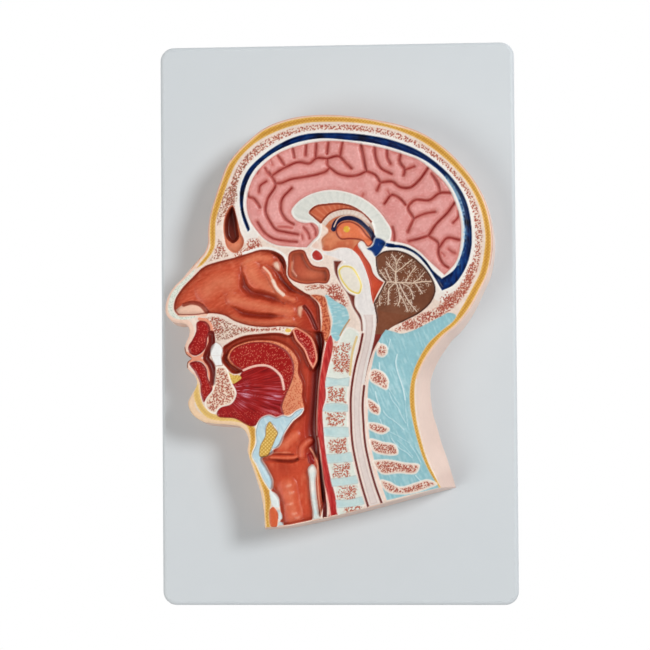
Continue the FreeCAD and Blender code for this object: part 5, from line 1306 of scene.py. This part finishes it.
def surface(name, tone, vary, grains, rough, bump, distance, metal=0.0):
    """A finish with its own fine variation: vary is how much lighter and darker it gets.

    Without a tone it takes the mesh's painted colours.
    """
    material, nodes, links, shader = plain_nodes(name)
    where = nodes.new("ShaderNodeTexCoord").outputs["Object"]

    def varied(scale, detail):
        """Noise over the object, in its own metres."""
        texture = nodes.new("ShaderNodeTexNoise")
        texture.inputs["Scale"].default_value = scale
        texture.inputs["Detail"].default_value = detail
        links.new(where, texture.inputs["Vector"])
        return texture.outputs["Fac"]

    def ranged(source, low, high):
        """A value from zero to one, taken to another range."""
        span = nodes.new("ShaderNodeMapRange")
        span.inputs["To Min"].default_value = low
        span.inputs["To Max"].default_value = high
        links.new(source, span.inputs["Value"])
        return span.outputs["Result"]

    if tone is None:
        source = nodes.new("ShaderNodeVertexColor")
        source.layer_name = "paint"
    else:
        source = nodes.new("ShaderNodeRGB")
        source.outputs[0].default_value = (*linear(tone), 1)
    scaled = nodes.new("ShaderNodeVectorMath")
    scaled.operation = "SCALE"
    links.new(source.outputs[0], scaled.inputs[0])
    links.new(ranged(varied(grains, 4), 1 - vary, 1 + vary), scaled.inputs["Scale"])
    links.new(scaled.outputs["Vector"], shader.inputs["Base Color"])
    links.new(ranged(varied(grains * 0.3, 3), *rough), shader.inputs["Roughness"])
    pits = nodes.new("ShaderNodeBump")
    pits.inputs["Strength"].default_value = bump
    pits.inputs["Distance"].default_value = distance
    links.new(varied(grains * 5, 3), pits.inputs["Height"])
    links.new(pits.outputs["Normal"], shader.inputs["Normal"])
    shader.inputs["Metallic"].default_value = metal
    shader.inputs["Specular IOR Level"].default_value = 0.5 if metal else 0.3
    return material


relief_paint = surface("relief_paint", None, 0.05, 260, (0.24, 0.42), 0.25, 0.0002)
for thing in relief + [wall_mesh]:
    thing.data.materials.append(relief_paint)
board_plastic = surface("board_plastic", (214, 220, 224), 0.012, 60, (0.4, 0.55), 0.08, 0.0001)
screw_steel = surface("screw_steel", (176, 178, 182), 0.06, 500, (0.25, 0.4), 0.1, 0.00005, 1.0)
washer_steel = surface("washer_steel", (158, 160, 164), 0.06, 400, (0.3, 0.5), 0.1, 0.00005, 1.0)
for node, material in (("base_board", board_plastic), ("relief_screws", screw_steel),
                       ("screw_washers", washer_steel)):
    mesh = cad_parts[node].data
    mesh.materials.clear()
    mesh.materials.append(material)

# Floor, plain white to the camera
FLOOR_GAP = 0.0005
bpy.ops.mesh.primitive_plane_add(size=8, location=(0, 0, board_low.z - FLOOR_GAP))
floor = bpy.context.object
floor.name = "floor"
material, nodes, links, shader = plain_nodes("floor_white")
shader.inputs["Base Color"].default_value = (0.8, 0.8, 0.8, 1)
shader.inputs["Roughness"].default_value = 0.9
path = nodes.new("ShaderNodeLightPath")
glow = nodes.new("ShaderNodeEmission")
blend = nodes.new("ShaderNodeMixShader")
links.new(path.outputs["Is Camera Ray"], blend.inputs["Fac"])
links.new(shader.outputs["BSDF"], blend.inputs[1])
links.new(glow.outputs["Emission"], blend.inputs[2])
links.new(blend.outputs["Shader"], nodes["Material Output"].inputs["Surface"])
floor.data.materials.append(material)

# Light: a key from the upper right, a wider and weaker fill from the lower left, and a sky
# that is brightest low down
scene = bpy.context.scene
world = bpy.data.worlds.new("studio")
world.use_nodes = True
sky = world.node_tree.nodes
direction = sky.new("ShaderNodeTexCoord")
parts = sky.new("ShaderNodeSeparateXYZ")
by_height = sky.new("ShaderNodeMapRange")
for key, value in (("From Min", 0.3), ("From Max", 1.0), ("To Min", 0.56), ("To Max", 0.06)):
    by_height.inputs[key].default_value = value
world.node_tree.links.new(direction.outputs["Generated"], parts.inputs[0])
world.node_tree.links.new(parts.outputs["Z"], by_height.inputs["Value"])
world.node_tree.links.new(by_height.outputs["Result"], sky["Background"].inputs["Strength"])
sky["Background"].inputs["Color"].default_value = (1, 1, 1, 1)
scene.world = world


def area_light(name, place, aim, size, power, tint):
    """A round lamp that looks from one place at another; size in metres, power in watts."""
    data = bpy.data.lights.new(name, "AREA")
    data.color = tint
    data.shape = "DISK"
    data.size = size
    data.energy = power
    lamp = bpy.data.objects.new(name, data)
    scene.collection.objects.link(lamp)
    lamp.rotation_euler = (Vector(aim) - Vector(place)).to_track_quat("-Z", "Y").to_euler()
    lamp.location = place


area_light("key", (1.5, 0.75, 2.0), (0, 0, 0), 0.8, 36, (0.985, 0.995, 1))
area_light("fill", (-1.3, -0.6, 2.0), (0, 0, 0), 1.4, 20.5, (1, 0.97, 0.93))

# Camera, nearly straight over the board: lens and place as fitted to the photograph's angle
camera_data = bpy.data.cameras.new("camera")
camera_data.lens = 113.4
camera_data.sensor_width = 36
camera = bpy.data.objects.new("camera", camera_data)
camera.matrix_world = Matrix((
    (0.99787, 0.00877, 0.06457, 0.08716),
    (-0.00731, 0.99971, -0.02285, -0.03473),
    (-0.06475, 0.02233, 0.99765, 1.50802),
    (0, 0, 0, 1)))
scene.collection.objects.link(camera)
scene.camera = camera
scene.view_settings.view_transform = "Standard"
